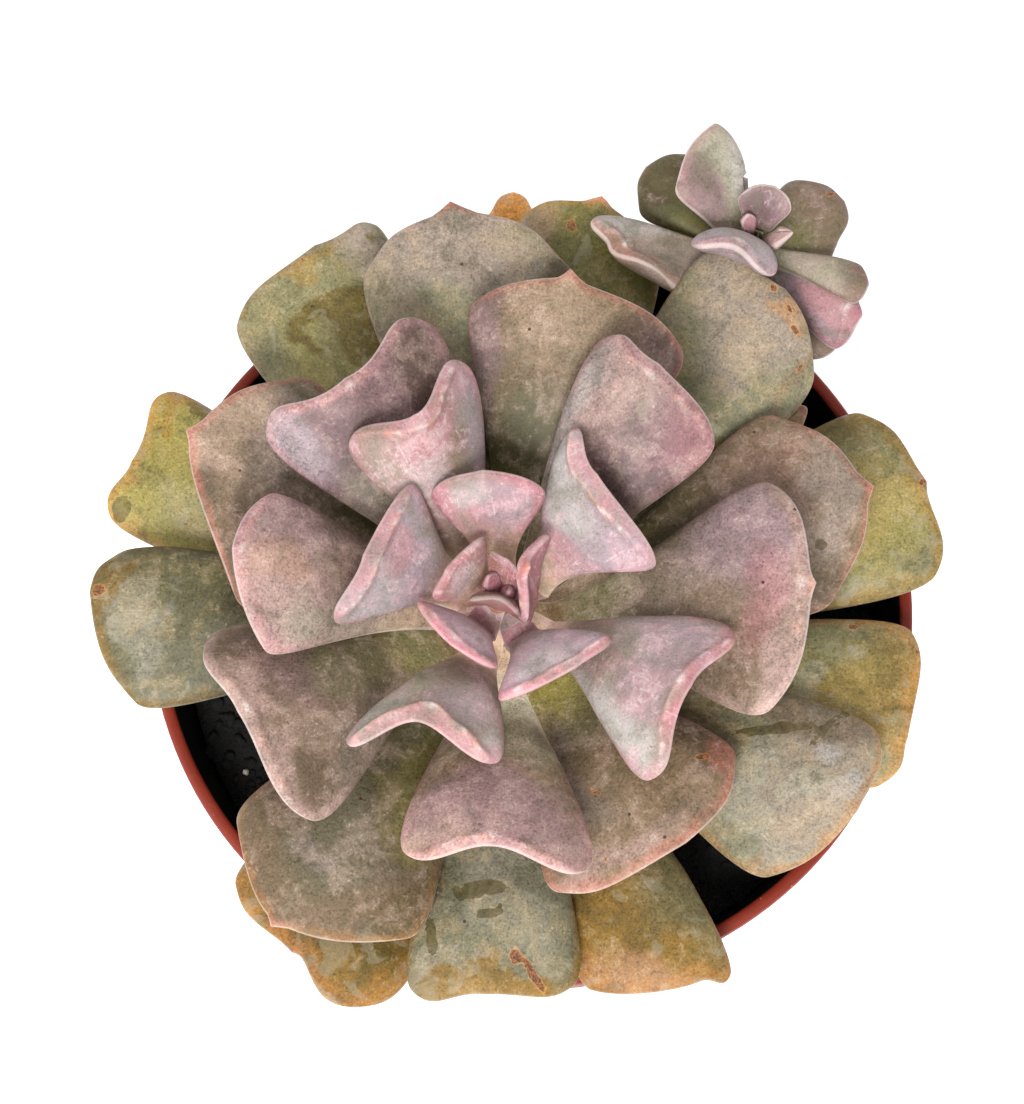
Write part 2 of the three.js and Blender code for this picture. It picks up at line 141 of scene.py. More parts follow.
class Graph:
    """Adds nodes to one shader or geometry tree."""

    def __init__(self, tree: bpy.types.NodeTree) -> None:
        """Starts on an empty tree."""
        self.tree = tree
        tree.nodes.clear()

    def add(self, kind: str, settings: dict[str, Any] | None = None,
            inputs: dict[int | str, Any] | None = None, output: int | str = 0) -> Socket:
        """Adds a node.

        Args:
            kind: The node's type.
            settings: Its own settings, which are made first.
            inputs: Values or links of its input sockets, by name or index.
            output: The output to return.

        Returns:
            The chosen output, or for a node with none the wrapped first input.
        """
        node = self.tree.nodes.new(kind)
        for name, value in (settings or {}).items():
            setattr(node, name, value)
        for name, value in (inputs or {}).items():
            self.feed(node.inputs[name], value)
        return Socket(self, node.outputs[output] if node.outputs else node.inputs[0])

    def feed(self, target: bpy.types.NodeSocket, value: Any) -> None:
        """Links a socket to an input, or sets the input to a plain value."""
        if isinstance(value, Socket):
            self.tree.links.new(value.link, target)
        elif target.type == "RGBA" and len(value) == 3:
            target.default_value = (*value, 1)
        else:
            target.default_value = value

    def math(self, operation: str, *values: Value, clamp: bool = False) -> Socket:
        """Adds a Math node on plain numbers or sockets."""
        settings = {"operation": operation, "use_clamp": clamp}
        return self.add("ShaderNodeMath", settings, dict(enumerate(values)))

    def blend(self, factor: Value, low: Any, high: Any) -> Socket:
        """Mixes two colours by a factor from 0 to 1."""
        inputs = {0: factor, 6: self.colour(low), 7: self.colour(high)}
        return self.add("ShaderNodeMix", {"data_type": "RGBA"}, inputs, 2)

    @staticmethod
    def colour(value: Any) -> Any:
        """A tint as plain numbers, and anything else as it is."""
        return tuple(value.linear) if isinstance(value, Tint) else value

    def step(self, value: Value, low: float, high: float, start: float = 0, end: float = 1) -> Socket:
        """A smooth step of a value between two limits."""
        inputs = {"Value": value, "From Min": low, "From Max": high, "To Min": start, "To Max": end}
        return self.add("ShaderNodeMapRange", {"interpolation_type": "SMOOTHSTEP"}, inputs)

    def noise(self, place: Socket, scale: float, detail: float = 2, bend: float = 0,
              rough: float = 0.5) -> Socket:
        """Cloudy noise from 0 to 1, its scale in cycles for each unit of the place."""
        inputs = {"Vector": place, "Scale": scale, "Detail": detail, "Distortion": bend, "Roughness": rough}
        return self.add("ShaderNodeTexNoise", {}, inputs)

    def scaled(self, vector: Any, factor: Value) -> Socket:
        """A vector or colour times a number."""
        return self.add("ShaderNodeVectorMath", {"operation": "SCALE"}, {0: vector, "Scale": factor})

    def stretched(self, vector: Socket, scale: Triple) -> Socket:
        """A vector scaled along each axis."""
        return self.add("ShaderNodeMapping", {}, {"Vector": vector, "Scale": scale})

    def millimetres(self) -> Socket:
        """The place on the object, in millimetres."""
        return self.scaled(self.add("ShaderNodeTexCoord", output="Object"), 1 / MM)

    def height(self, place: Socket) -> Socket:
        """The height of a place."""
        return self.add("ShaderNodeSeparateXYZ", {}, {0: place}, "Z")

    def carried(self, name: str, output: str = "Fac") -> Socket:
        """An attribute that the mesh carries."""
        return self.add("ShaderNodeAttribute", {"attribute_name": name}, output=output)

    def specks(self, place: Socket, scale: float, radius: float, share: float) -> Socket:
        """Scattered round specks.

        Args:
            place: Where they are looked up.
            scale: Cells for each unit of the place.
            radius: A speck's radius as a share of its cell.
            share: The share of the cells that hold one.

        Returns:
            1 in a speck and 0 outside.
        """
        cell = self.add("ShaderNodeTexVoronoi", {}, {"Vector": place, "Scale": scale})
        chance = self.add("ShaderNodeSeparateColor", {}, {0: cell.sibling("Color")})
        held = self.step(chance, 1 - share - 0.02, 1 - share)
        return self.step(cell, radius, radius * 0.6) * held


class Finish:
    """What the finishes of all pieces share: a material with one main shader."""

    name = "finish"

    def build(self) -> Material:
        """Makes the material."""
        material = bpy.data.materials.new(self.name)
        material.use_nodes = True
        graph = Graph(material.node_tree)
        shader = graph.add("ShaderNodeBsdfPrincipled")
        graph.add("ShaderNodeOutputMaterial", {}, {"Surface": shader})
        self.dress(graph, shader.link.node.inputs)
        material.cycles.emission_sampling = "NONE"
        return material

    def dress(self, graph: Graph, shader: Any) -> None:
        """Feeds the shader's inputs."""
        raise NotImplementedError

    @staticmethod
    def cover(graph: Graph, shader: Any, colour: Socket, rough: Socket, height: Socket,
              relief: Pair) -> None:
        """Feeds the shader what varies over a surface.

        Args:
            graph: The material's graph.
            shader: The shader's inputs.
            colour: The base colour.
            rough: The roughness.
            height: The relief's height from 0 to 1.
            relief: The relief's strength and its depth in millimetres.
        """
        graph.feed(shader["Base Color"], colour)
        graph.feed(shader["Roughness"], rough)
        inputs = {"Strength": relief[0], "Distance": relief[1] * MM, "Height": height}
        graph.feed(shader["Normal"], graph.add("ShaderNodeBump", {}, inputs))


@dataclass(frozen=True)
class LeafFinish(Finish):
    """Waxy leaf skin: painted tints under a powdery bloom that rubs off, with a painted glow and a painted
    edge highlight.

    The scales of its noise are in cycles for each millimetre, and its amounts are from 0 to about 1.
    """

    name: str
    depth: float = 0.525
    grit: float = 1.5
    clouding: float = 1.15
    mottling: float = 1.2
    weave: float = 0.2
    flush: float = 0.3
    dusting: float = 0.35
    flecks: float = 0.2
    freckles: float = 0.5
    scratches: float = 0.3
    wear: float = 0.2
    # rim: strength of the pale edge line, partly the margin's own colour, partly painted highlight
    rim: float = 0.35
    rubbed: Tint = Tint.OLIVE
    warm: Tint = Tint.ROSE
    fresh: Tint = Tint.GLAUCOUS
    cool: Tint = Tint.FROST_AND_GLINT
    cloud_scale: float = 0.17
    mottle_scale: float = 0.75
    grain_scale: float = 3.0
    shore_scale: float = 0.32
    streak_stretch: Triple = (0.16, 1.0, 1.0)
    scratch_stretch: Triple = (0.09, 1.1, 1.0)
    relief: Pair = (0.45, 0.45)
    sheen: float = 0.35

    def dress(self, graph: Graph, shader: Any) -> None:
        """Paints the skin from the leaf's own attributes and fine noise."""
        place, lie = graph.millimetres(), graph.carried("lie", "Vector")
        tint, bloom = graph.carried("tint", "Color"), graph.carried("bloom")
        cloud = graph.noise(place, self.cloud_scale, 3, 0.7)
        mottle = graph.noise(place, self.mottle_scale, 3, 0.4, 0.68)
        grain = graph.noise(place, self.grain_scale, 2, 0.2, 0.8)
        streak = graph.noise(graph.stretched(lie, self.streak_stretch), 1.0, 3, 0.5)
        patch = cloud + (mottle - 0.5) * 0.4 + (streak - 0.5) * 0.15
        colour = graph.blend(graph.step(patch, 0.48, 0.62) * self.flush, tint, self.warm)
        colour = graph.blend(graph.step(patch, 0.47, 0.35) * self.flush, colour, self.fresh)
        powder = graph.step(mottle + (cloud - 0.5) * 0.8, 0.5, 0.66)
        colour = graph.blend(powder * bloom * self.dusting, colour, self.cool)
        value = 1 + (cloud - 0.5) * self.clouding + (mottle - 0.5) * self.mottling
        value = value + (streak - 0.5) * self.weave + (grain - 0.5) * self.grit
        colour = graph.scaled(colour, value * self.depth)
        colour = graph.scaled(colour, 1 - 0.4 * (graph.step(grain, 0.43, 0.33) * self.freckles))
        colour = graph.blend(graph.step(grain, 0.59, 0.7) * powder * self.flecks, colour, Tint.FROST_AND_GLINT)
        line = graph.noise(graph.stretched(lie, self.scratch_stretch), 1.0, 2, 0.9)
        line = graph.math("ABSOLUTE", line - 0.5)
        scratch = graph.step(line, 0.016, 0.003) * graph.step(mottle + cloud, 1.0, 1.12)
        colour = graph.blend(scratch * self.scratches, colour, Tint.FROST_AND_GLINT)
        bare = self.bare(graph, place, bloom)
        skin = graph.scaled(graph.blend(0.65, tint, self.rubbed), self.depth * 0.74 + (mottle - 0.5) * 0.9)
        shore = bare * (1 - bare) * 4
        colour = graph.blend(bare * 0.85, colour, skin)
        colour = graph.blend(shore * 0.18, colour, Tint.SILVER)
        scar = graph.carried("scar") + (mottle - 0.5) * 4
        core = graph.step(scar, 0.02, 0.3)
        cork = graph.blend(graph.step(grain, 0.4, 0.6), Tint.CHAR, Tint.RUST)
        colour = graph.blend(graph.step(scar, -0.6, 0.05) * 0.35, colour, Tint.AMBER)
        colour = graph.blend(core * 0.9, colour, cork)
        colour = graph.blend(graph.specks(place, 0.24, 0.07, 0.22), colour, Tint.CHAR)
        # pale edge line: partly the margin's own pale colour, partly a painted highlight where the rounded
        # edge catches light
        pale_edge_and_highlight = graph.step(graph.carried("edge"), 0.24, 0.07) * (1 - core)
        colour = graph.blend(pale_edge_and_highlight * self.rim, colour, Tint.FROST_AND_GLINT)
        matt = graph.step(grain, 0.3, 0.7, 0.46, 0.6) + 0.06 * bloom
        self.cover(graph, shader, colour, matt - 0.24 * bare - 0.1 * core, mottle * 0.45 + grain * 0.2,
                   self.relief)
        # painted glow: emission in the skin's colour, strongest in the heart, stands in for light shining
        # through the flesh
        graph.feed(shader["Emission Color"], graph.scaled(colour, graph.carried("glow")))
        shader["Emission Strength"].default_value = 1.0
        shader["Specular IOR Level"].default_value = self.sheen

    def bare(self, graph: Graph, place: Socket, bloom: Socket) -> Socket:
        """Where the bloom is rubbed off or wet, with a wavy border."""
        border = graph.noise(place, self.shore_scale, 3, 0.8) - 0.5
        drawn = graph.step(graph.carried("rub") + border * 5.5, 0.0, 0.16)
        loose = graph.step(border + (1 - bloom) * 0.12, 0.17 - 0.12 * self.wear, 0.24) * self.wear
        return graph.math("MAXIMUM", drawn, loose, clamp=True)


@dataclass(frozen=True)
class PotFinish(Finish):
    """Moulded plastic: brick red outside and on the rim, black inside, dark enough to paint the deep shade
    in the pot too.
    """

    name: str = "red_plastic"
    red: Triple = (0.175, 0.02, 0.009)
    black: Triple = (0.006, 0.005, 0.005)
    dusty: Triple = (0.26, 0.11, 0.07)
    chalky: Triple = (0.4, 0.26, 0.2)
    sheen: float = 0.2
    relief: Pair = (0.2, 0.5)

    def dress(self, graph: Graph, shader: Any) -> None:
        """Tells inside from outside by the attribute that the wall carries."""
        place = graph.millimetres()
        cloud = graph.noise(place, 0.11, 4, 0.3)
        grain = graph.noise(place, 3.2, 3)
        red = graph.scaled(self.red, 0.72 + 0.5 * cloud)
        dust = graph.step(graph.noise(place, 0.5, 4, 0.8), 0.58, 0.8) * 0.16
        red = graph.blend(dust, red, self.dusty)
        red = graph.blend(graph.specks(place, 0.5, 0.10, 0.18) * 0.5, red, self.chalky)
        # near black inside: the inner wall's colour, dark enough to serve as painted shade in the pot
        colour = graph.blend(graph.carried("inner"), graph.scaled(red, 0.86 + 0.28 * grain), self.black)
        rough = graph.step(cloud, 0.3, 0.7, 0.42, 0.56) + dust * 0.5
        self.cover(graph, shader, colour, rough, grain * 0.2 + graph.noise(place, 0.25, 3), self.relief)
        shader["Specular IOR Level"].default_value = self.sheen


@dataclass(frozen=True)
class PeatFinish(Finish):
    """Moist black peat with brown crumbs, darker than real peat: it also paints the deep shade under the
    leaves.
    """

    name: str = "peat_mix"
    dark: Triple = (0.002, 0.0017, 0.0015)
    brown: Triple = (0.008, 0.0055, 0.004)
    pale: Triple = (0.05, 0.035, 0.022)
    relief: Pair = (0.8, 0.8)

    def dress(self, graph: Graph, shader: Any) -> None:
        """Mixes black and brown crumbs."""
        place = graph.millimetres()
        lump = graph.noise(place, 0.6, 6, 0.5)
        grit = graph.noise(place, 4.0, 3)
        colour = graph.blend(graph.step(lump, 0.45, 0.75), self.dark, self.brown)
        colour = graph.blend(graph.step(grit, 0.7, 0.8) * 0.3, colour, self.pale)
        self.cover(graph, shader, colour, 0.8 + 0.18 * grit, lump + grit * 0.4, self.relief)


@dataclass(frozen=True)
class GrainFinish(Finish):
    """White volcanic grains, chalky and pitted."""

    name: str = "white_grain"
    chalk: Triple = (0.62, 0.58, 0.50)
    stain: Triple = (0.30, 0.24, 0.17)
    relief: Pair = (0.7, 0.3)

    def dress(self, graph: Graph, shader: Any) -> None:
        """Stains the chalk unevenly."""
        place = graph.millimetres()
        stained = graph.step(graph.noise(place, 1.6, 4), 0.4, 0.75)
        pits = graph.noise(place, 5.0, 3)
        colour = graph.blend(stained, self.chalk, self.stain)
        self.cover(graph, shader, colour, 0.75 + 0.2 * pits, pits, self.relief)


@dataclass(frozen=True)
class BarkFinish(Finish):
    """Corky stem in two browns, and fleshy above a height, where its apricot also paints light shining
    through the leaf bases.
    """

    name: str = "stem_cork"
    pale: Triple = (0.19, 0.13, 0.085)
    dark: Triple = (0.05, 0.032, 0.02)
    flesh_height: float = 86.0
    flesh_depth: float = 0.55
    grain_stretch: Triple = (1.0, 1.0, 0.35)
    relief: Pair = (0.5, 0.6)

    def dress(self, graph: Graph, shader: Any) -> None:
        """Cracks the cork lengthwise."""
        place = graph.millimetres()
        crack = graph.noise(graph.stretched(place, self.grain_stretch), 0.9, 6, 0.8)
        grit = graph.noise(place, 3.0, 3)
        colour = graph.blend(graph.step(crack, 0.38, 0.62), self.dark, self.pale)
        up = graph.height(place) + 4 * crack
        start = self.flesh_height
        # apricot flesh near the top: partly the young stem's colour, partly painted light shining through
        # the leaf bases
        flesh = graph.blend(graph.step(up, start + 2, start + 11), Tint.FERN, Tint.APRICOT)
        colour = graph.blend(graph.step(up, start, start + 4), colour,
                             graph.scaled(flesh, self.flesh_depth))
        colour = graph.scaled(colour, 0.8 + 0.4 * grit)
        self.cover(graph, shader, colour, 0.7 + 0.25 * grit, crack + 0.3 * grit, self.relief)


@dataclass(frozen=True)
class FloorFinish(Finish):
    """Plain white studio paper, bright enough to lose its shadows."""

    name: str = "studio_paper"
    white: float = 0.9
    glow: float = 0.28
    rough: float = 0.9

    def dress(self, graph: Graph, shader: Any) -> None:
        """A whisper of paper grain on white."""
        grain = graph.noise(graph.millimetres(), 0.8, 3)
        shade = graph.step(grain, 0.0, 1.0, self.white - 0.01, self.white)
        grey = graph.add("ShaderNodeCombineColor", {}, {0: shade, 1: shade, 2: shade})
        graph.feed(shader["Base Color"], grey)
        shader["Roughness"].default_value = self.rough
        shader["Emission Color"].default_value = (1, 1, 1, 1)
        shader["Emission Strength"].default_value = self.glow


# Pieces


def placed(name: str, points: Any, faces: Sequence[Sequence[int]],
           edges: Sequence[Sequence[int]] = ()) -> Piece:
    """Makes a smooth mesh object from points in millimetres.

    Args:
        name: The piece's name.
        points: Its points, in millimetres in the part's frame.
        faces: Its faces, as lists of point numbers.
        edges: Edges without faces, as pairs of point numbers.

    Returns:
        The linked object, which sits at the origin.
    """
    mesh = bpy.data.meshes.new(name)
    mesh.from_pydata((np.asarray(points, float) * MM).tolist(), edges, faces)
    mesh.shade_smooth()
    return linked(name, mesh)


def linked(name: str, data: Any) -> Piece:
    """Makes an object of its data and links it to the scene."""
    piece = bpy.data.objects.new(name, data)
    bpy.context.scene.collection.objects.link(piece)
    return piece


def polyline(name: str, points: Any) -> Piece:
    """Makes an open line of edges through points in millimetres."""
    return placed(name, points, [], [(k, k + 1) for k in range(len(points) - 1)])


def corners_of(piece: Piece) -> Array:
    """A mesh's points, in millimetres."""
    return np.array([v.co for v in piece.data.vertices]) / MM


def carry(piece: Piece, name: str, values: Array) -> None:
    """Stores one number or one colour for each point of a mesh."""
    kind, key = ("FLOAT", "value") if values.ndim == 1 else ("FLOAT_COLOR", "color")
    if values.ndim == 2:
        values = np.column_stack([values, np.ones(len(values))])
    layer = piece.data.attributes.new(name, kind, "POINT")
    layer.data.foreach_set(key, values.astype(np.float32).ravel())


def finished(piece: Piece, name: str, finish: Material) -> Piece:
    """Names a piece and gives it one material."""
    piece.name = piece.data.name = name
    piece.data.materials.clear()
    piece.data.materials.append(finish)
    return piece


def hand_over(piece: Piece, slot: str, *nodes: str) -> None:
    """Fixes a finished piece to the part, in place of the solids that it stands for."""
    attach(piece, "root")
    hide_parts(*nodes)
    LOG.info("%s: %d faces, slot %s", piece.name, len(piece.data.polygons), slot)


def around(sides: int) -> Array:
    """Unit directions evenly round an upright axis."""
    turns = np.arange(sides) * 2 * math.pi / sides
    return np.stack([np.cos(turns), np.sin(turns)], -1)


def smooth_step(low: float, high: float, value: Array) -> Array:
    """A smooth step from 0 at low to 1 at high."""
    share = np.clip((value - low) / (high - low), 0, 1)
    return share * share * (3 - 2 * share)


def bell(value: Array, width: float) -> Array:
    """1 where a value is 0, and a third of that where it reaches the width."""
    return np.exp(-((value / width) ** 2))


def ripple(points: Array, seed: int, wave: float) -> Array:
    """Smooth noise of about -1 to 1 over points, with waves of about that length."""
    draw = np.random.default_rng(seed)
    total = np.zeros(points.shape[:-1])
    for _ in range(7):
        turn = draw.normal(size=3)
        turn *= draw.uniform(0.7, 1.5) * 2 * math.pi / wave / np.linalg.norm(turn)
        total += np.sin(points @ turn + draw.uniform(0, 2 * math.pi))
    return total / 3


# Leaves


def heading(pitch: float, yaw: float = 0) -> Array:
    """Unit direction that climbs at a pitch, turned aside by a yaw, both in degrees."""
    climb, turn = math.radians(pitch), math.radians(yaw)
    return np.array([math.cos(climb) * math.cos(turn), math.cos(climb) * math.sin(turn), math.sin(climb)])


@dataclass(frozen=True)
class Bend:
    """A cubic curve, from a start along its pull to an end along its pull."""

    start: Array
    start_pull: Array
    end: Array
    end_pull: Array

    def at(self, share: Array) -> Array:
        """Points at shares of the curve."""
        t = np.asarray(share, float)[..., None]
        s = 1 - t
        first, second = self.start + self.start_pull, self.end - self.end_pull
        return s**3 * self.start + 3 * s * s * t * first + 3 * s * t * t * second + t**3 * self.end


@dataclass(frozen=True)
class Leaf:
    """A leaf's own sizes, from the stem's axis in its own direction.

    tip is out, to the left and up; a horn is out, aside and down from the tip.
    """

    age: int
    azimuth: float
    tip: Triple
    left: Triple
    right: Triple
    full: float | Pair = 0.35
    round: float | Pair = 0.3
    spread: Pair = (12, 12)
    arch: float = 8
    seat: float | None = None
    size: float | None = None


@dataclass
class Blade:
    """The surface of one leaf, by the same rule as its solid."""

    leaf: Leaf
    seat: float
    root: float
    origin: Triple
    root_half_width: float = 2.5
    root_thickness: float = 2.2
    belly_thickness: float = 4.6
    full_length: float = 40
    least_size: float = 0.3
    midrib_pull: float = 0.36
    margin_pull: float = 0.45
    root_share: float = 0.6
    root_cup: float = 0.15
    horn_rise: float = 0.4
    crest_rise: float = 0.25
    crest_draw: float = 0.1
    soften: float = 1.5
    pull_limit: float = 1.05
    small: float = 1e-3
    slice: float = 0.02

    def __post_init__(self) -> None:
        """Lays out the midrib, the margins and the front."""
        leaf = self.leaf
        start, point = np.array([self.root, 0, self.seat]), np.array(leaf.tip, float)
        self.length = float(np.linalg.norm(point - start))
        mean = math.degrees(math.asin((point[2] - self.seat) / self.length))
        pull = self.midrib_pull * self.length
        self.front_way = heading(mean - leaf.arch)
        self.midrib = Bend(start, heading(mean + leaf.arch) * pull, point, self.front_way * pull)
        self.width = (leaf.left[1] + leaf.right[1]) / 2
        half = min(self.root_half_width, self.root_share * self.width)
        full, bend = (value if isinstance(value, tuple) else (value, value)
                      for value in (leaf.full, leaf.round))
        self.sides = []
        for k, (horn, side) in enumerate(((leaf.left, 1), (leaf.right, -1))):
            corner = np.array([horn[0], side * horn[1], leaf.tip[2] - horn[2]])
            foot = np.array([self.root, side * half, self.seat + self.root_cup * half])
            turn = np.array([1, -side, self.horn_rise + math.tan(math.radians(mean - leaf.arch))])
            turn *= bend[k] * self.soften * self.width / np.linalg.norm(turn)
            outward = heading(mean + leaf.arch, side * leaf.spread[k]) * self.margin_pull * self.length
            inward = np.array([self.crest_draw, -side, self.crest_rise]) * full[k] * horn[1]
            pulls = float(np.linalg.norm(turn) + np.linalg.norm(inward))
            share = min(1, self.pull_limit * float(np.linalg.norm(point - corner)) / pulls)
            turn, inward = turn * share, inward * share
            self.sides.append((Bend(foot, outward, corner, turn), Bend(corner, turn, point, inward)))
        grown = self.least_size + (1 - self.least_size) * self.length / self.full_length
        self.size = min(1, grown) if leaf.size is None else leaf.size

    def arc(self, u: Array, v: Array) -> Array:
        """The bowed sheet between the two margins."""
        middle, a, b = self.midrib.at(u), self.sides[0][0].at(u), self.sides[1][0].at(u)
        v = v[..., None]
        return middle + (a - b) * v / 2 + ((a + b) / 2 - middle) * v * v

    def sheet(self, u: Array, v: Array) -> Array:
        """The sheet at half the leaf's thickness, u from root to front and v from right to left."""
        reach = 1 - np.abs(v)
        front = np.where((v < 0)[..., None], self.sides[1][1].at(reach), self.sides[0][1].at(reach))
        return self.arc(u, v) + (front - self.arc(np.ones_like(u), v)) * (u**3)[..., None]

    def normal(self, u: Array, v: Array) -> Array:
        """The direction of the leaf's upper side."""
        step = self.small
        low, side = np.minimum(u, 1 - step), np.clip(v, -1 + step, 1 - step)
        along = self.sheet(low + step, side) - self.sheet(low, side)
        across = self.sheet(low, side + step) - self.sheet(low, side - step)
        upward = np.cross(along, across)
        return upward / np.linalg.norm(upward, axis=-1, keepdims=True)

    @staticmethod
    def taper(u: Array, v: Array) -> Array:
        """Falls from 1 to 0 at the margins and the front, in a round."""
        return np.sqrt(1 - np.abs(v) ** 4) * np.sqrt(1 - u**12)

    def half(self, u: Array, v: Array) -> Array:
        """Half the flesh, round at the margins and the front."""
        belly = self.root_thickness + (self.belly_thickness - self.root_thickness) * np.sin(math.pi * u)
        return 0.5 * belly * self.size * self.taper(u, v)

    def side_distance(self, u: Array, v: Array) -> Array:
        """Distance to the nearer side margin."""
        width = np.linalg.norm(self.sides[0][0].at(u) - self.sides[1][0].at(u), axis=-1)
        return (1 - np.abs(v)) * width / 2

    def front_distance(self, u: Array, v: Array) -> Array:
        """Distance to the front margin."""
        near = self.sheet(np.full_like(u, 1 - self.slice), v)
        slope = (self.sheet(np.ones_like(u), v) - near) / self.slice
        return (1 - u) * np.linalg.norm(slope, axis=-1)

    def frame(self, points: Array) -> Array:
        """Turns points of the leaf into the part's frame."""
        turn = math.radians(self.leaf.azimuth)
        c, s = math.cos(turn), math.sin(turn)
        x, y = points[..., 0] * c - points[..., 1] * s, points[..., 0] * s + points[..., 1] * c
        return np.stack([x, y, points[..., 2]], -1) + np.array(self.origin)


class Brush(Enum):
    """Kinds of mark on a leaf."""

    SCAR = "scar"
    RUB = "rub"


@dataclass(frozen=True)
class Wash:
    """A soft patch of a tint, in shares of the blade."""

    tint: Tint
    u: float
    v: float
    reach_u: float
    reach_v: float
    amount: float = 0.7
    crisp: bool = False


@dataclass(frozen=True)
class Mark:
    """A crisp mark, its place in shares of the blade and its size in millimetres."""

    brush: Brush
    u: float
    v: float
    length: float
    width: float
    turn: float = 0


@dataclass(frozen=True)
class Look:
    """How a leaf is painted and how its front is folded."""

    ground: Tint
    root: Tint
    lip: Tint
    washes: tuple[Wash, ...] = ()
    marks: tuple[Mark, ...] = ()
    ridge: float = 0.0
    inset: float = 0.0
    lip_width: float = 2.2
    lip_amount: float = 0.6
    reach: float = 0.3
    bloom: float = 0.7
    mucro: float = 0.0
    back: Tint = Tint.FERN
    shade: float = 1.0
    # core and lit: the tint painted in the heart and the strength of the painted glow there
    core: Tint = Tint.CREAM
    lit: float = 1.0


class Wave(Enum):
    """Noise over a leaf: what it adds to the skin's seed, and the length of its waves in millimetres."""

    SWELL = (0, 9)
    BLOOM = (7, 16)
    DRIFT = (50, 13)
    CREST = (60, 7)
    SPARKLE = (70, 2.2)
    GLINT = (75, 1.8)
    FOLD = (80, 1.6)
    FLUTTER = (90, 5)
    WOBBLE = (130, 2.4)


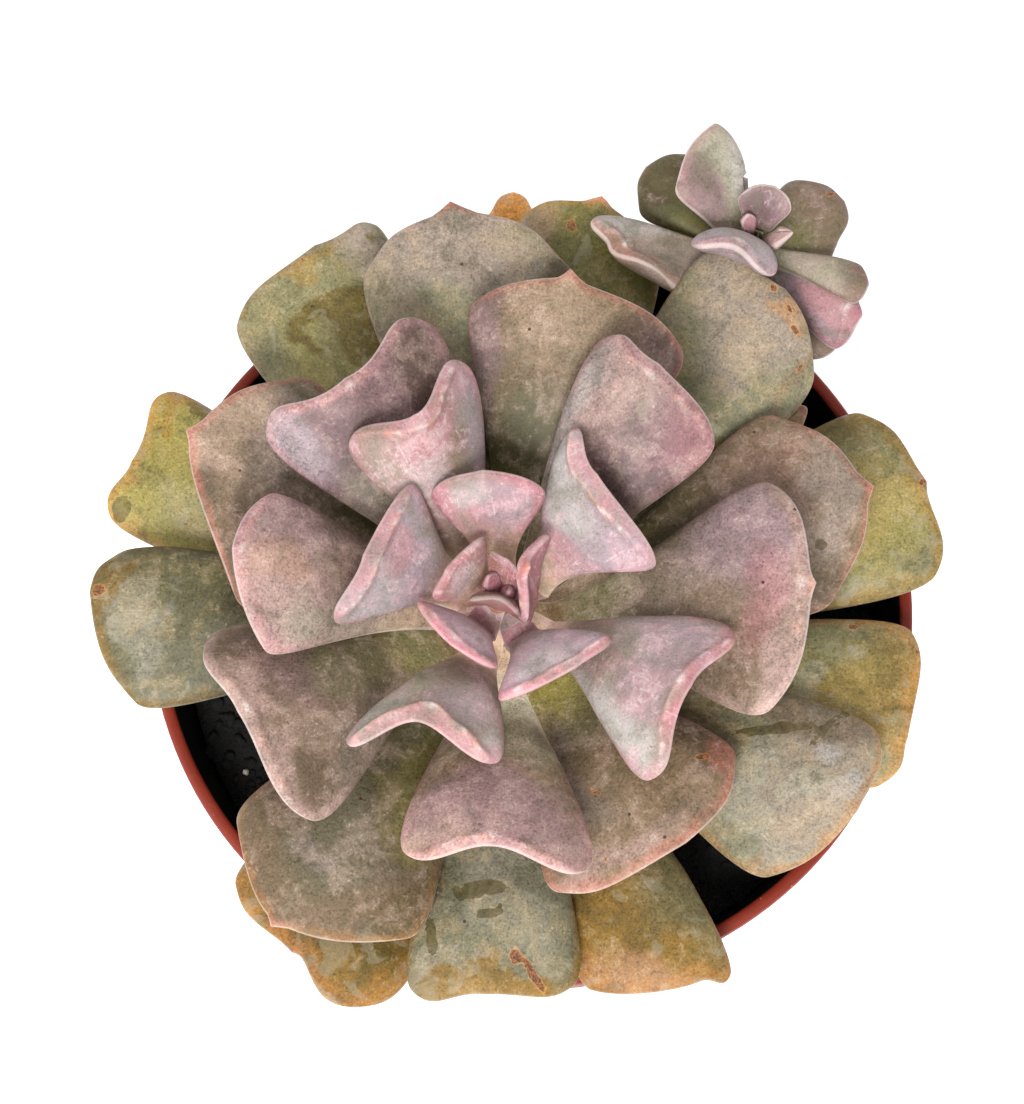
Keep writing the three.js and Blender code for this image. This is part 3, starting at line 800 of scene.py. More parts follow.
@dataclass
class Skin:
    """Builds a leaf's fine mesh and paints what it carries."""

    blade: Blade
    look: Look
    seed: int
    rows: int = 60
    columns: int = 56
    gather: float = 1.5
    ridge_width: float = 0.85
    ridge_height: float = 0.65
    groove: float = 0.6
    wave_height: float = 0.16
    keel: float = 0.35
    foot_rows: int = 6
    foot_rise: float = 3.6
    foot_end: float = 0.9
    foot_top: float = 17.5
    # heart, heart_reach and light: the painted glow and the paler core painted in the heart of the rosette
    heart: float = 0.0
    heart_reach: float = 13
    light: float = 0.65
    crisp: float = 0.0
    # rise: painted shade towards the root and painted light towards the front
    rise: float = 0.0
    outside: float = -3.0

    def wave(self, sheet: Array, wave: Wave) -> Array:
        """One kind of noise over the leaf."""
        offset, length = wave.value
        return ripple(sheet, self.seed + offset, length)

    def grid(self) -> tuple[Array, Array]:
        """Rows and columns that close up towards the margins and the front."""
        t = np.linspace(0, 1, self.rows + 1)
        s = np.linspace(-1, 1, self.columns + 1)
        u = 1 - (1 - t) ** self.gather
        v = np.sign(s) * (1 - (1 - np.abs(s)) ** self.gather)
        return np.meshgrid(u, v, indexing="ij")

    def crest(self, u: Array, v: Array) -> tuple[Array, Array]:
        """The folded edge behind the front, and the band beyond it, each from 0 to 1."""
        gap = self.blade.front_distance(u, v)
        way = self.wave(self.blade.sheet(u, v), Wave.CREST)
        inset = self.look.inset * (1 - np.abs(v) ** 1.6) * (1 + 0.2 * way)
        fold = bell(gap - inset, self.ridge_width) * smooth_step(1.02, 0.7, np.abs(v))
        spine = bell(v * self.blade.width, 1.3) * smooth_step(8.5, 2.5, gap)
        spine *= smooth_step(inset - 0.6, inset + 0.4, gap)
        beyond = smooth_step(inset + 0.35, inset - 0.35, gap)
        return np.maximum(fold, 0.6 * spine), beyond

    def points(self, u: Array, v: Array) -> tuple[Array, Array]:
        """Points of the upper and the lower side, in the leaf's own frame."""
        blade, look = self.blade, self.look
        sheet, normal, half = blade.sheet(u, v), blade.normal(u, v), blade.half(u, v)
        tip = bell(v * blade.width, 0.75) * smooth_step(0.93, 1, u)
        sheet = sheet + blade.front_way * (look.mucro * tip)[..., None]
        inner = blade.taper(u, v)
        fold, beyond = self.crest(u, v)
        relief = self.ridge_height * look.ridge * fold * np.minimum(inner * 2, 1)
        relief -= self.groove * look.ridge * smooth_step(0.25, 0.8, u) * bell(v, 0.5) * (1 - beyond) * inner
        swell = self.wave_height * self.wave(sheet, Wave.SWELL) * inner * smooth_step(0, 0.3, u)
        top = sheet + normal * (half + relief + swell)[..., None]
        keel = self.keel * bell(v * blade.width, 1.6) * inner * np.sin(math.pi * u)
        bottom = sheet - normal * (half + keel - swell * 0.6)[..., None]
        return top, bottom

    def footed(self, side: Array) -> Array:
        """Puts the rows that carry the root up the stem before the rows of one side."""
        reach = np.linspace(1, 0, self.foot_rows + 1)[:-1, None]
        rise = min(self.foot_rise, self.foot_top - self.blade.seat)
        x, y, z = np.moveaxis(side[0], -1, 0)
        foot = np.stack([x + (self.foot_end - x) * reach, y * (1 - 0.4 * reach), z + rise * reach], -1)
        return self.blade.frame(np.concatenate([foot, side]))

    def tints(self, u: Array, v: Array) -> Array:
        """The painted colour of the upper side, with painted shade and light from root to front, painted
        highlights on the crest and a painted glow in the heart.
        """
        look, blade = self.look, self.blade
        sheet = blade.sheet(u, v)
        waves = (Wave.DRIFT, Wave.FLUTTER, Wave.WOBBLE)
        drift, flutter, wobble = (self.wave(sheet, wave) for wave in waves)
        uu, vv = u + 0.05 * drift + 0.02 * flutter, v + 0.12 * drift - 0.06 * flutter
        colour = np.broadcast_to(look.ground.linear, (*u.shape, 3)).copy()

        def lay(tint: Tint, mask: Array, lift: float = 1.0) -> None:
            """Lays a tint over the colour where the mask is."""
            colour[...] += (tint.linear * lift - colour) * np.clip(mask, 0, 1)[..., None]

        lay(look.root, smooth_step(look.reach + 0.22, look.reach - 0.22, uu))
        for wash in look.washes:
            off = ((uu - wash.u) / wash.reach_u) ** 2 + ((vv - wash.v) / wash.reach_v) ** 2
            shape = 1 - off + 0.5 * flutter + 0.25 * wobble
            mask = smooth_step(-0.1, 0.12, shape) if wash.crisp else smooth_step(1.35, 0.1, off)
            lay(wash.tint, wash.amount * mask)
        inside = self.edge(u, v) * (1 + 0.25 * flutter) + self.crisp * 0.9 * wobble
        start = look.lip_width * (0.1 + 0.6 * self.crisp)
        lip = look.lip_amount * smooth_step(look.lip_width, start, inside) * smooth_step(0.3, 0.75, u)
        patchy = 0.55 + 0.45 * smooth_step(-0.8, 0.6, drift + flutter)
        lay(look.lip, lip * (self.crisp + (1 - self.crisp) * patchy))
        deep = self.depth(u, sheet)
        # paler core and apricot centre: partly the bases' own colour, partly painted light shining through
        # the flesh in the heart
        heart = self.heart * min(1, look.lit)
        lay(look.core, heart * smooth_step(0, 0.6, deep))
        lay(Tint.APRICOT, 0.7 * heart * smooth_step(0.65, 1, deep))
        gap = blade.front_distance(u, v)
        if look.ridge:
            fold, beyond = self.crest(u, v)
            fade = smooth_step(-0.7, 0.7, flutter + 0.8 * (1 - 1.6 * np.abs(v)))
            uneven = 0.5 + 0.5 * smooth_step(-0.9, 0.5, self.wave(sheet, Wave.FOLD))
            lay(look.lip, 0.8 * beyond * uneven * look.ridge * fade, 0.9)
            # salmon along the crest: the crest's own colour, lifted brighter in spots as painted highlight
            crisp = fold**4 * smooth_step(-0.3, 1.0, self.wave(sheet, Wave.SPARKLE)) * fade
            lay(Tint.SALMON, look.ridge * (0.3 * fold**2 * fade + 0.8 * crisp), 1.2)
            # painted highlight: overbright white glints on the crest and at its point
            crown = bell(gap - look.inset, 0.5) * bell(v * blade.width, 0.5)
            thin = fold**8 * smooth_step(0.2, 0.8, self.wave(sheet, Wave.GLINT))
            lay(Tint.FROST_AND_GLINT, look.ridge * np.maximum(crown, 0.75 * thin), 1.75)
        lay(Tint.CORAL, bell(v * blade.width, 0.85) * smooth_step(1.1, 0.2, gap) * min(1, look.mucro), 1.15)
        # painted shade and light: darker towards the root, lighter towards the front, less so deep in the
        # heart
        rise = self.rise * (smooth_step(0.35, 1.0, u) - 0.62) * (1 - deep)
        return colour * (look.shade * (1 + rise))[..., None]

    def depth(self, u: Array, sheet: Array) -> Array:
        """How deep in the heart of the rosette a point lies, from 0 to 1."""
        out = np.hypot(sheet[..., 0], sheet[..., 1])
        return smooth_step(self.heart_reach, 2.5, out) * smooth_step(0.75, 0.25, u)

    def edge(self, u: Array, v: Array) -> Array:
        """Distance to the leaf's outline, in millimetres."""
        side = np.maximum(self.blade.side_distance(u, v), self.blade.small)
        front = np.maximum(self.blade.front_distance(u, v), self.blade.small)
        return (side**-3 + front**-3) ** (-1 / 3)

    def field(self, u: Array, v: Array, brush: Brush) -> Array:
        """How deep a point lies in the marks of one brush, above 0 inside them."""
        best = np.full(u.shape, self.outside)
        sheet = self.blade.sheet(u, v)
        for mark in (m for m in self.look.marks if m.brush is brush):
            at = [np.array([mark.u]), np.array([mark.v])]
            centre = self.blade.sheet(*at)[0]
            along = self.blade.sheet(at[0] + 0.01, at[1])[0] - centre
            along /= np.linalg.norm(along)
            across = np.cross(self.blade.normal(*at)[0], along)
            turn = math.radians(mark.turn)
            away = sheet - centre
            x = away @ (along * math.cos(turn) + across * math.sin(turn))
            y = away @ (across * math.cos(turn) - along * math.sin(turn))
            best = np.maximum(best, 2.3 * (1 - np.hypot(2 * x / mark.length, 2 * y / mark.width)))
        return best

    def build(self, name: str) -> Piece:
        """Makes the closed mesh with its paint."""
        u, v = self.grid()
        top, bottom = (self.footed(side) for side in self.points(u, v))
        u = np.concatenate([np.zeros((self.foot_rows, u.shape[1])), u])
        v = np.concatenate([np.tile(v[0], (self.foot_rows, 1)), v])
        shared = (np.abs(v) > 1 - 1e-9) | (u > 1 - 1e-9)
        number = np.arange(u.size).reshape(u.shape)
        own = np.flatnonzero(~shared.ravel())
        under = number.copy()
        under.ravel()[own] = u.size + np.arange(len(own))
        a, b, c, d = number[:-1, :-1], number[1:, :-1], number[1:, 1:], number[:-1, 1:]
        faces = np.stack([a, b, c, d], -1).reshape(-1, 4).tolist()
        a, b, c, d = under[:-1, :-1], under[:-1, 1:], under[1:, 1:], under[1:, :-1]
        faces += np.stack([a, b, c, d], -1).reshape(-1, 4).tolist()
        faces.append([*number[0, :].tolist(), *under[0, 1:-1][::-1].tolist()])
        piece = placed(name, np.concatenate([top.reshape(-1, 3), bottom.reshape(-1, 3)[own]]), faces)
        self.paint(piece, u, v, own)
        return piece

    def paint(self, piece: Piece, u: Array, v: Array, own: Array) -> None:
        """Stores the tint, the bloom, the painted glow and the marks on the mesh.

        Args:
            piece: The leaf's mesh.
            u: How far from root to front each point of the upper side lies.
            v: How far from right to left it lies.
            own: Numbers of the points that the lower side has for itself.
        """
        look, sheet = self.look, self.blade.sheet(u, v)
        upper, edge = self.tints(u, v).reshape(-1, 3), self.edge(u, v).ravel()
        bloom = look.bloom + 0.15 * self.wave(sheet, Wave.BLOOM).ravel() - 0.3 * smooth_step(3, 0.5, edge)
        deep = self.depth(u, sheet).ravel()
        # painted glow: emission near the heart stands in for light shining through the flesh
        glow = self.light * self.heart * look.lit * smooth_step(0, 0.55, deep)
        glow *= 1 - 0.5 * smooth_step(0.65, 1, deep)
        apart = np.full(u.shape, 7.3 * self.seed)
        lie = np.stack([u * self.blade.length, v * self.blade.width, apart], -1).reshape(-1, 3)
        layers = {"lie": (lie, 1), "glow": (glow, 0.2), "bloom": (np.clip(bloom, 0, 1), 1),
                  "edge": (edge, 1)}
        for name, (values, below) in layers.items():
            carry(piece, name, np.concatenate([values, below * values[own]]))
        carry(piece, "tint", np.concatenate([upper, upper[own] * 0.35 + look.back.linear * 0.65]))
        for brush in Brush:
            marks = self.field(u, v, brush).ravel()
            carry(piece, brush.value, np.concatenate([marks, np.full(len(own), self.outside)]))


T, B = Tint, Brush
LEAVES = [
    Leaf(4, 153, (7, 1.5, 25), (7, 5, 2), (5, 5, 2)),
    Leaf(5, -10, (3, 2.5, 25), (5, 8, 2), (4, 3.5, 2)),
    Leaf(6, -129, (10, 0, 25), (8.5, 6, 2), (8, 7, 2.5), full=0.6, spread=(-8, -8)),
    Leaf(7, 95, (14.5, 1, 27), (13, 7.5, 2.5), (12, 6.5, 2.5), round=0.45, spread=(-14, -14)),
    Leaf(8, -57, (14.6, 1.5, 27), (13.5, 8, 3), (12.5, 8, 3), full=0.5, spread=(-8, -8)),
    Leaf(9, 162, (17.2, 2.5, 28), (18.2, 11, 3), (14.7, 8.8, 2.5), spread=(-8, -16)),
    Leaf(10, 38, (17.8, 3, 28.5), (20, 10.5, 3.5), (17, 10, 3.5), spread=(0, -14)),
    Leaf(11, -112, (20.8, -1.8, 28), (21.5, 8, 3.5), (26, 10, 3.5), spread=(2, 4)),
    Leaf(12, 120, (23.5, -1, 29.5), (25.5, 7.5, 4), (27.6, 10.5, 4), round=(0.3, 0.4), spread=(-6, 8)),
    Leaf(13, -29, (27.5, -1, 29.5), (28.5, 8.5, 4), (28.5, 13, 4), full=0.5, spread=(8, -6)),
    Leaf(14, 176, (33.5, -1, 30), (28.5, 11, 4), (30, 9.5, 4.5), full=0.5, seat=8.7),
    Leaf(15, 50, (33.8, 2.2, 30.5), (33.5, 10.3, 4), (31.5, 9, 4.5), full=(0.55, 0.45), round=(0.34, 0.3),
        spread=(22, 10)),
    Leaf(16, -92, (34, 0, 28.2), (35.8, 12, 3.5), (34.5, 10.5, 4), seat=7.5),
    Leaf(17, 126, (33, 0.5, 27.5), (34.5, 12, 4), (34.5, 13, 4), full=0.6, round=(0.3, 0.42)),
    Leaf(18, 0, (39, -0.5, 27), (35, 13.5, 4), (34, 15.5, 4), full=0.45, spread=(3, 12)),
    Leaf(19, -151, (36.5, -1.5, 24.5), (35, 14, 4), (35.5, 12.5, 4), full=0.4, spread=(6, 12)),
    Leaf(20, 78, (42.5, 0, 23.5), (38, 11.5, 3.5), (37.5, 16, 4), full=(0.4, 0.5), round=(0.2, 0.3),
        spread=(5, 8)),
    Leaf(21, -55, (39.5, 0.5, 20), (34, 12.5, 3.5), (35, 15.5, 4), full=0.9),
    Leaf(22, 153, (45.3, -1, 20), (31, 14.5, 4), (37.5, 15, 4), full=(0.3, 0.6)),
    Leaf(23, 15, (49, 1.5, 19.5), (41.5, 15, 4), (41.5, 10.5, 4), full=0.6),
    Leaf(24, -123, (50, -1, 17), (42.5, 13.5, 3.5), (42, 12.5, 3.5), full=(0.45, 0.3)),
    Leaf(25, 97, (54, 0, 17), (48.5, 12, 4), (46, 14.5, 4), full=0.9),
    Leaf(26, -33, (52.5, 2, 14.5), (49.5, 12.6, 3), (47.5, 10.5, 3.5), full=0.6),
    Leaf(27, 179, (53.3, -1.5, 12.5), (47, 12.5, 3), (50, 7.5, 3), full=0.7),
    Leaf(28, 48, (57.3, 1, 15), (55.5, 12.3, 2.5), (52, 9, 3.5), full=(0.7, 0.4), round=0.4),
    Leaf(29, -92, (49.5, 0, 10), (47.5, 11, 3), (49, 9.5, 3), full=0.5),
    Leaf(30, 119, (57.3, -3, 9.5), (53.5, 11, 3), (57, 12, 3), full=0.7),
    Leaf(31, -19, (55, 2, 8), (51.5, 16.5, 3), (53.5, 4.5, 3), full=0.5, spread=(16, 12), seat=-3.2),
    Leaf(33, 75, (59.3, 2, 9.5), (56.5, 11.5, 3), (53.5, 7.5, 3), full=0.7),
    Leaf(34, -66, (53.5, 3.5, 6), (54, 8.2, 2.5), (48.5, 9, 2.5), full=0.4),
    Leaf(35, 158, (54, -2, 6), (54, 5.5, 2.5), (54, 13.5, 2.5), full=0.5),
    Leaf(36, 16, (59.5, 3, 6), (55, 15, 2.5), (57.5, 9, 2.5), full=0.6),
    Leaf(37, -121, (50.6, -0.5, 4.5), (51, 11.8, 2), (47, 11.8, 2), full=(0.3, 0.8), round=(0.6, 0.3)),
    Leaf(38, 88, (62, 0.5, 3), (58.5, 4, 0.5), (58.5, 3, 0.5), full=0.8, round=0.5, arch=0, size=0.5),
    Leaf(39, 36, (50.6, 0, 6), (48.1, 2.6, 0.5), (47.6, 2.5, 0.5), arch=6, seat=-2.55, size=0.6),
]

# Besides the leaves' own colours, the washes hold painted light and shade: dark umber, plum and olive washes
# on a flank partly paint shade where a neighbouring leaf overlaps, pale frost, silver and dove washes on a
# flank partly paint sheen, and dark root tints partly paint shade.
LOOKS = {
    4: Look(T.BLUSH, T.APRICOT, T.ROSE, (Wash(T.FROST_AND_GLINT, 0.7, 0.1, 0.3, 0.6),), ridge=0.5, inset=0.8,
        lip_width=2.6, lip_amount=0.9, back=T.ROSE, shade=0.874, lit=0.6),
    5: Look(T.ORCHID, T.ROSE, T.ROSE, (Wash(T.MAUVE, 0.8, -0.6, 0.3, 0.5),), ridge=0.8, inset=1,
        lip_width=1.4, lip_amount=0.8, mucro=0.9, back=T.ROSE, lit=0.5),
    6: Look(T.ORCHID, T.ORCHID, T.ROSE, (Wash(T.LILAC, 0.5, 0.2, 0.4, 0.6),
        Wash(T.PLUM, 0.9, 0.8, 0.2, 0.4, 0.5)), ridge=0.35, inset=1.2, lip_width=1.4, lip_amount=0.9,
        back=T.ROSE, shade=1.56, lit=0.1),
    7: Look(T.PINK, T.APRICOT, T.ROSE, (Wash(T.LILAC, 0.75, -0.3, 0.3, 0.6),
        Wash(T.FROST_AND_GLINT, 0.85, 0.3, 0.15, 0.4)), ridge=0.2, inset=0.4, lip_width=1.8, lip_amount=0.8,
        back=T.ROSE, shade=0.81, lit=0.8),
    8: Look(T.LILAC, T.ORCHID, T.ROSE, (Wash(T.FROST_AND_GLINT, 0.8, -0.1, 0.2, 0.5, 0.4),
        Wash(T.ORCHID, 0.6, 0.7, 0.4, 0.4)), ridge=0.6, inset=1.2, lip_width=1.6, lip_amount=0.85,
        back=T.ROSE, shade=1.38, lit=0.15),
    9: Look(T.LILAC, T.SALMON, T.PINK, (Wash(T.FROST_AND_GLINT, 0.85, 0.6, 0.3, 0.5, 0.5),
        Wash(T.FAWN, 0.45, -0.8, 0.3, 0.3, 0.5), Wash(T.PINK, 0.85, -0.1, 0.2, 0.4, 0.6)), ridge=0.9,
        inset=2, lip_width=2, lip_amount=0.75, back=T.CREAM, shade=0.893, lit=1.15),
    10: Look(T.LILAC, T.BLUSH, T.PINK, (Wash(T.FROST_AND_GLINT, 0.7, 0.3, 0.3, 0.6, 0.9),
        Wash(T.PINK, 0.4, -0.3, 0.2, 0.6), Wash(T.FAWN, 0.3, 0.7, 0.25, 0.4)), ridge=0.9, inset=2.2,
        lip_width=1.8, lip_amount=0.7, back=T.BLUSH, shade=0.97),
    11: Look(T.DOVE, T.FAWN, T.PINK, (Wash(T.SILVER, 0.6, -0.7, 0.4, 0.5, 0.8),
        Wash(T.FROST_AND_GLINT, 0.9, -0.7, 0.25, 0.4), Wash(T.LILAC, 0.7, 0.3, 0.25, 0.5, 0.6),
        Wash(T.FROST_AND_GLINT, 0.9, 0.9, 0.2, 0.3, 0.6)), ridge=1, inset=2.6, lip_width=2, lip_amount=0.7,
        back=T.PINK, shade=1.12, lit=1.5),
    12: Look(T.BLUSH, T.TAUPE, T.PINK, (Wash(T.LILAC, 0.65, -0.7, 0.4, 0.5, 0.9),
        Wash(T.SILVER, 0.55, 0.7, 0.3, 0.4), Wash(T.ROSE, 0.88, 0, 0.12, 0.5, 0.4),
        Wash(T.FAWN, 0.66, -0.3, 0.18, 0.35), Wash(T.FROST_AND_GLINT, 0.7, 0.2, 0.12, 0.4, 0.5)),
        (Mark(B.SCAR, 0.55, -0.4, 1.2, 0.5, 20),), ridge=0.9, inset=1.6, lip_width=2.4, lip_amount=0.7,
        back=T.PINK, shade=0.798),
    13: Look(T.DOVE, T.BLUSH, T.ROSE, (Wash(T.FROST_AND_GLINT, 0.65, -0.7, 0.35, 0.5, 0.9),
        Wash(T.ORCHID, 0.85, 0.2, 0.2, 0.7), Wash(T.LILAC, 0.6, 0.6, 0.3, 0.5, 0.6)),
        (Mark(B.SCAR, 0.9, -0.62, 1, 0.3, 40),), ridge=0.6, inset=1.4, lip_width=2.4, lip_amount=0.75,
        back=T.PINK, shade=1.08),
    14: Look(T.BLUSH, T.DOVE, T.PINK, (Wash(T.UMBER, 0.5, -0.85, 0.35, 0.5, 0.8),
        Wash(T.MAUVE, 0.85, -0.5, 0.3, 0.6), Wash(T.TAUPE, 0.5, 0, 0.2, 0.4, 0.5),
        Wash(T.SILVER, 0.55, 0.7, 0.35, 0.4, 0.6), Wash(T.APRICOT, 0.85, 0.1, 0.15, 0.3, 0.35)), ridge=0.4,
        inset=1.2, lip_width=2.6, back=T.DOVE, shade=0.89),
    15: Look(T.BLUSH, T.SAGE, T.PINK, (Wash(T.MAUVE, 0.7, -0.5, 0.35, 0.6, 0.85),
        Wash(T.PLUM, 0.45, -0.2, 0.25, 0.5, 0.5), Wash(T.FROST_AND_GLINT, 0.6, 0.85, 0.45, 0.4),
        Wash(T.ROSE, 0.9, -0.7, 0.2, 0.5, 0.6)), ridge=0.5, inset=1.6, lip_width=2.4, back=T.DOVE,
        shade=0.677, lit=0.7),
    16: Look(T.TAUPE, T.SILVER, T.PINK, (Wash(T.GLAUCOUS, 0.4, -0.1, 0.2, 0.9),
        Wash(T.MAUVE, 0.82, 0, 0.2, 1.1, 0.8), Wash(T.BLUSH, 0.97, 0, 0.06, 1.2, 0.35)), ridge=0.45,
        inset=1.3, lip_amount=0.45, back=T.TAUPE, shade=1.24, core=T.SILVER, lit=2.8),
    17: Look(T.MAUVE, T.GLAUCOUS, T.PINK, (Wash(T.UMBER, 0.75, -0.8, 0.35, 0.55),
        Wash(T.LILAC, 0.8, 0.75, 0.25, 0.45, 0.95), Wash(T.PLUM, 0.75, 0, 0.2, 0.45, 0.5),
        Wash(T.GLAUCOUS, 0.5, 0.1, 0.15, 0.5, 0.6)), ridge=0.3, inset=1, lip_width=2.4, reach=0.4,
        back=T.TAUPE, shade=0.84, core=T.SAGE),
    18: Look(T.TAUPE, T.GLAUCOUS, T.BLUSH, (Wash(T.ORCHID, 0.8, 0.5, 0.3, 0.7),
        Wash(T.BLUSH, 0.96, -0.6, 0.12, 0.7), Wash(T.DOVE, 0.45, 0.3, 0.3, 0.5, 0.4),
        Wash(T.ROSE, 0.82, -0.1, 0.1, 0.5, 0.4)), ridge=0.45, inset=1.4, mucro=0.5, back=T.TAUPE,
        shade=0.97, core=T.SAGE, lit=1.5),
    19: Look(T.TAUPE, T.SAGE, T.BLUSH, (Wash(T.OLIVE, 0.25, -0.7, 0.3, 0.4, 0.6),
        Wash(T.LIME, 0.31, 0.1, 0.09, 0.3, 0.75, True), Wash(T.MAUVE, 0.75, -0.3, 0.2, 0.6, 0.5),
        Wash(T.UMBER, 0.85, -0.65, 0.2, 0.3, 0.6), Wash(T.UMBER, 0.75, 0.7, 0.2, 0.35, 0.5),
        Wash(T.BLUSH, 0.97, 0.2, 0.08, 0.9, 0.5), Wash(T.DOVE, 0.45, 0.7, 0.3, 0.4, 0.6),
        Wash(T.SAGE, 0.5, 0, 0.2, 0.5)), ridge=0.45, inset=1.2, lip_width=2, back=T.TAUPE, shade=0.93,
        core=T.SAGE, lit=2.2),
    20: Look(T.FAWN, T.FERN, T.CORAL, (Wash(T.CREAM, 0.88, 0.05, 0.17, 0.5, 0.45),
        Wash(T.PLUM, 0.75, -0.85, 0.35, 0.4, 0.8), Wash(T.MAUVE, 0.75, 0.85, 0.35, 0.35, 0.8),
        Wash(T.SAGE, 0.5, 0, 0.2, 0.4, 0.4)), lip_width=1.4, reach=0.58, mucro=1.2, back=T.SAGE, shade=0.77,
        core=T.SAGE, lit=0.8),
    21: Look(T.FAWN, T.SAGE, T.CORAL, (Wash(T.LIME, 0.2, -0.5, 0.15, 0.5, 0.6),
        Wash(T.UMBER, 0.75, 0.75, 0.35, 0.4), Wash(T.DOVE, 0.45, -0.7, 0.35, 0.45, 0.8),
        Wash(T.BLUSH, 0.95, -0.5, 0.1, 0.8, 0.5), Wash(T.CORAL, 0.88, 0.8, 0.12, 0.3, 0.5),
        Wash(T.SAGE, 0.35, 0.1, 0.2, 0.5, 0.5)), (Mark(B.SCAR, 0.81, 0.59, 1.7, 0.9, 60),
        Mark(B.SCAR, 0.68, -0.26, 3.4, 0.5, 35), Mark(B.SCAR, 0.91, -0.39, 0.7, 0.5)), lip_width=2,
        reach=0.4, shade=0.86, core=T.LIME, lit=2.3),
    22: Look(T.TAUPE, T.FERN, T.CORAL, (Wash(T.DOVE, 0.75, -0.5, 0.25, 0.6),
        Wash(T.UMBER, 0.75, 0.85, 0.4, 0.6, 1), Wash(T.CREAM, 0.95, -0.1, 0.1, 0.6, 0.6),
        Wash(T.FAWN, 0.92, 0.7, 0.12, 0.4, 0.6), Wash(T.OLIVE, 0.85, -0.9, 0.2, 0.25, 0.5, True)),
        lip_width=1.6, lip_amount=0.7, reach=0.5, mucro=0.8, shade=0.8),
    23: Look(T.FAWN, T.FERN, T.CORAL, (Wash(T.UMBER, 0.75, -0.85, 0.35, 0.4),
        Wash(T.BLUSH, 0.7, 0.15, 0.2, 0.4, 0.55), Wash(T.SALMON, 0.78, 0.45, 0.2, 0.45, 0.4),
        Wash(T.DOVE, 0.92, 0, 0.12, 0.5, 0.8), Wash(T.TAUPE, 0.7, 0.6, 0.3, 0.4, 0.6),
        Wash(T.OLIVE, 0.55, -0.6, 0.3, 0.4, 0.5), Wash(T.DOVE, 0.85, -0.3, 0.08, 0.3, 0.5)),
        (Mark(B.RUB, 0.86, -0.33, 1.6, 1.6),), lip_width=1.2, lip_amount=0.5, reach=0.5, mucro=1.1,
        shade=0.794, lit=1.5),
    24: Look(T.FAWN, T.SAGE, T.AMBER, (Wash(T.UMBER, 0.5, -0.85, 0.3, 0.5, 0.9),
        Wash(T.GLAUCOUS, 0.7, 0, 0.25, 0.6), Wash(T.FAWN, 0.97, 0.3, 0.08, 1, 0.6),
        Wash(T.TAUPE, 0.62, 0.4, 0.15, 0.4, 0.4), Wash(T.LIME, 0.42, 0.5, 0.2, 0.5, 0.9),
        Wash(T.OLIVE, 0.8, 0.9, 0.25, 0.25, 0.5, True), Wash(T.DOVE, 0.8, -0.1, 0.06, 0.2, 0.6, True)),
        lip_width=1.6, reach=0.45, mucro=0.8, shade=0.669, core=T.SAGE, lit=2.2),
    25: Look(T.GLAUCOUS, T.FERN, T.BLUSH, (Wash(T.UMBER, 0.7, -0.9, 0.35, 0.45, 0.9),
        Wash(T.DOVE, 0.92, 0.1, 0.16, 0.8, 0.9), Wash(T.TAUPE, 0.6, 0.6, 0.3, 0.5, 0.6),
        Wash(T.UMBER, 0.45, 0, 0.2, 0.6, 0.5)), lip_width=1.2, lip_amount=0.5, reach=0.4, mucro=1.2,
        shade=0.919),
    26: Look(T.GLAUCOUS, T.FERN, T.AMBER, (Wash(T.DOVE, 0.9, 0, 0.2, 1),
        Wash(T.SILVER, 0.72, -0.4, 0.12, 0.4, 0.6, True), Wash(T.TAUPE, 0.7, 0.75, 0.3, 0.4),
        Wash(T.UMBER, 0.45, 0, 0.2, 0.9, 0.5), Wash(T.FROST_AND_GLINT, 0.88, 0.1, 0.05, 0.25, 0.5, True)),
        (Mark(B.RUB, 0.71, 0.3, 9, 1.4, 30), Mark(B.RUB, 0.8, 0.62, 7, 1.6, 75)), lip_width=1.4,
        lip_amount=0.5, shade=0.95, lit=3),
    27: Look(T.SAGE, T.FERN, T.OCHRE, (Wash(T.OLIVE, 0.75, -0.85, 0.3, 0.4),
        Wash(T.GLAUCOUS, 0.72, 0.6, 0.3, 0.5, 0.9), Wash(T.SILVER, 0.88, 0.25, 0.09, 0.4, 0.6, True),
        Wash(T.UMBER, 0.5, 0, 0.2, 0.4, 0.5), Wash(T.OCHRE, 0.97, -0.3, 0.05, 0.5, 0.6, True)),
        (Mark(B.SCAR, 0.98, 0, 1.6, 1.6),), lip_width=1.6, lip_amount=0.7, shade=0.679),
    28: Look(T.GLAUCOUS, T.FERN, T.FAWN, (Wash(T.DOVE, 0.9, 0, 0.18, 1, 0.8),
        Wash(T.TAUPE, 0.5, 0.6, 0.3, 0.5, 0.5), Wash(T.SAGE, 0.55, 0, 0.25, 0.8, 0.6),
        Wash(T.AMBER, 0.99, -0.3, 0.04, 0.3, 0.45, True), Wash(T.FAWN, 0.85, -0.9, 0.25, 0.1, 0.6),
        Wash(T.OLIVE, 0.53, -0.6, 0.07, 0.3, 0.8, True)), (Mark(B.SCAR, 0.985, 0.05, 1.6, 1, 60),
        Mark(B.SCAR, 0.975, -0.2, 1.3, 0.7, 80), Mark(B.SCAR, 0.955, -0.45, 1.6, 0.8, 70),
        Mark(B.SCAR, 0.9, -0.75, 1.6, 0.6)), lip_width=1, lip_amount=0.4),
    29: Look(T.GLAUCOUS, T.SAGE, T.OCHRE, (Wash(T.UMBER, 0.5, -0.85, 0.3, 0.4, 0.8),
        Wash(T.SILVER, 0.66, 0.2, 0.2, 0.6, 0.6), Wash(T.OCHRE, 0.96, 0, 0.07, 1.2, 0.8, True),
        Wash(T.SILVER, 0.9, -0.5, 0.03, 0.4, 0.6, True)), (Mark(B.RUB, 0.71, -0.13, 2.6, 6, 10),
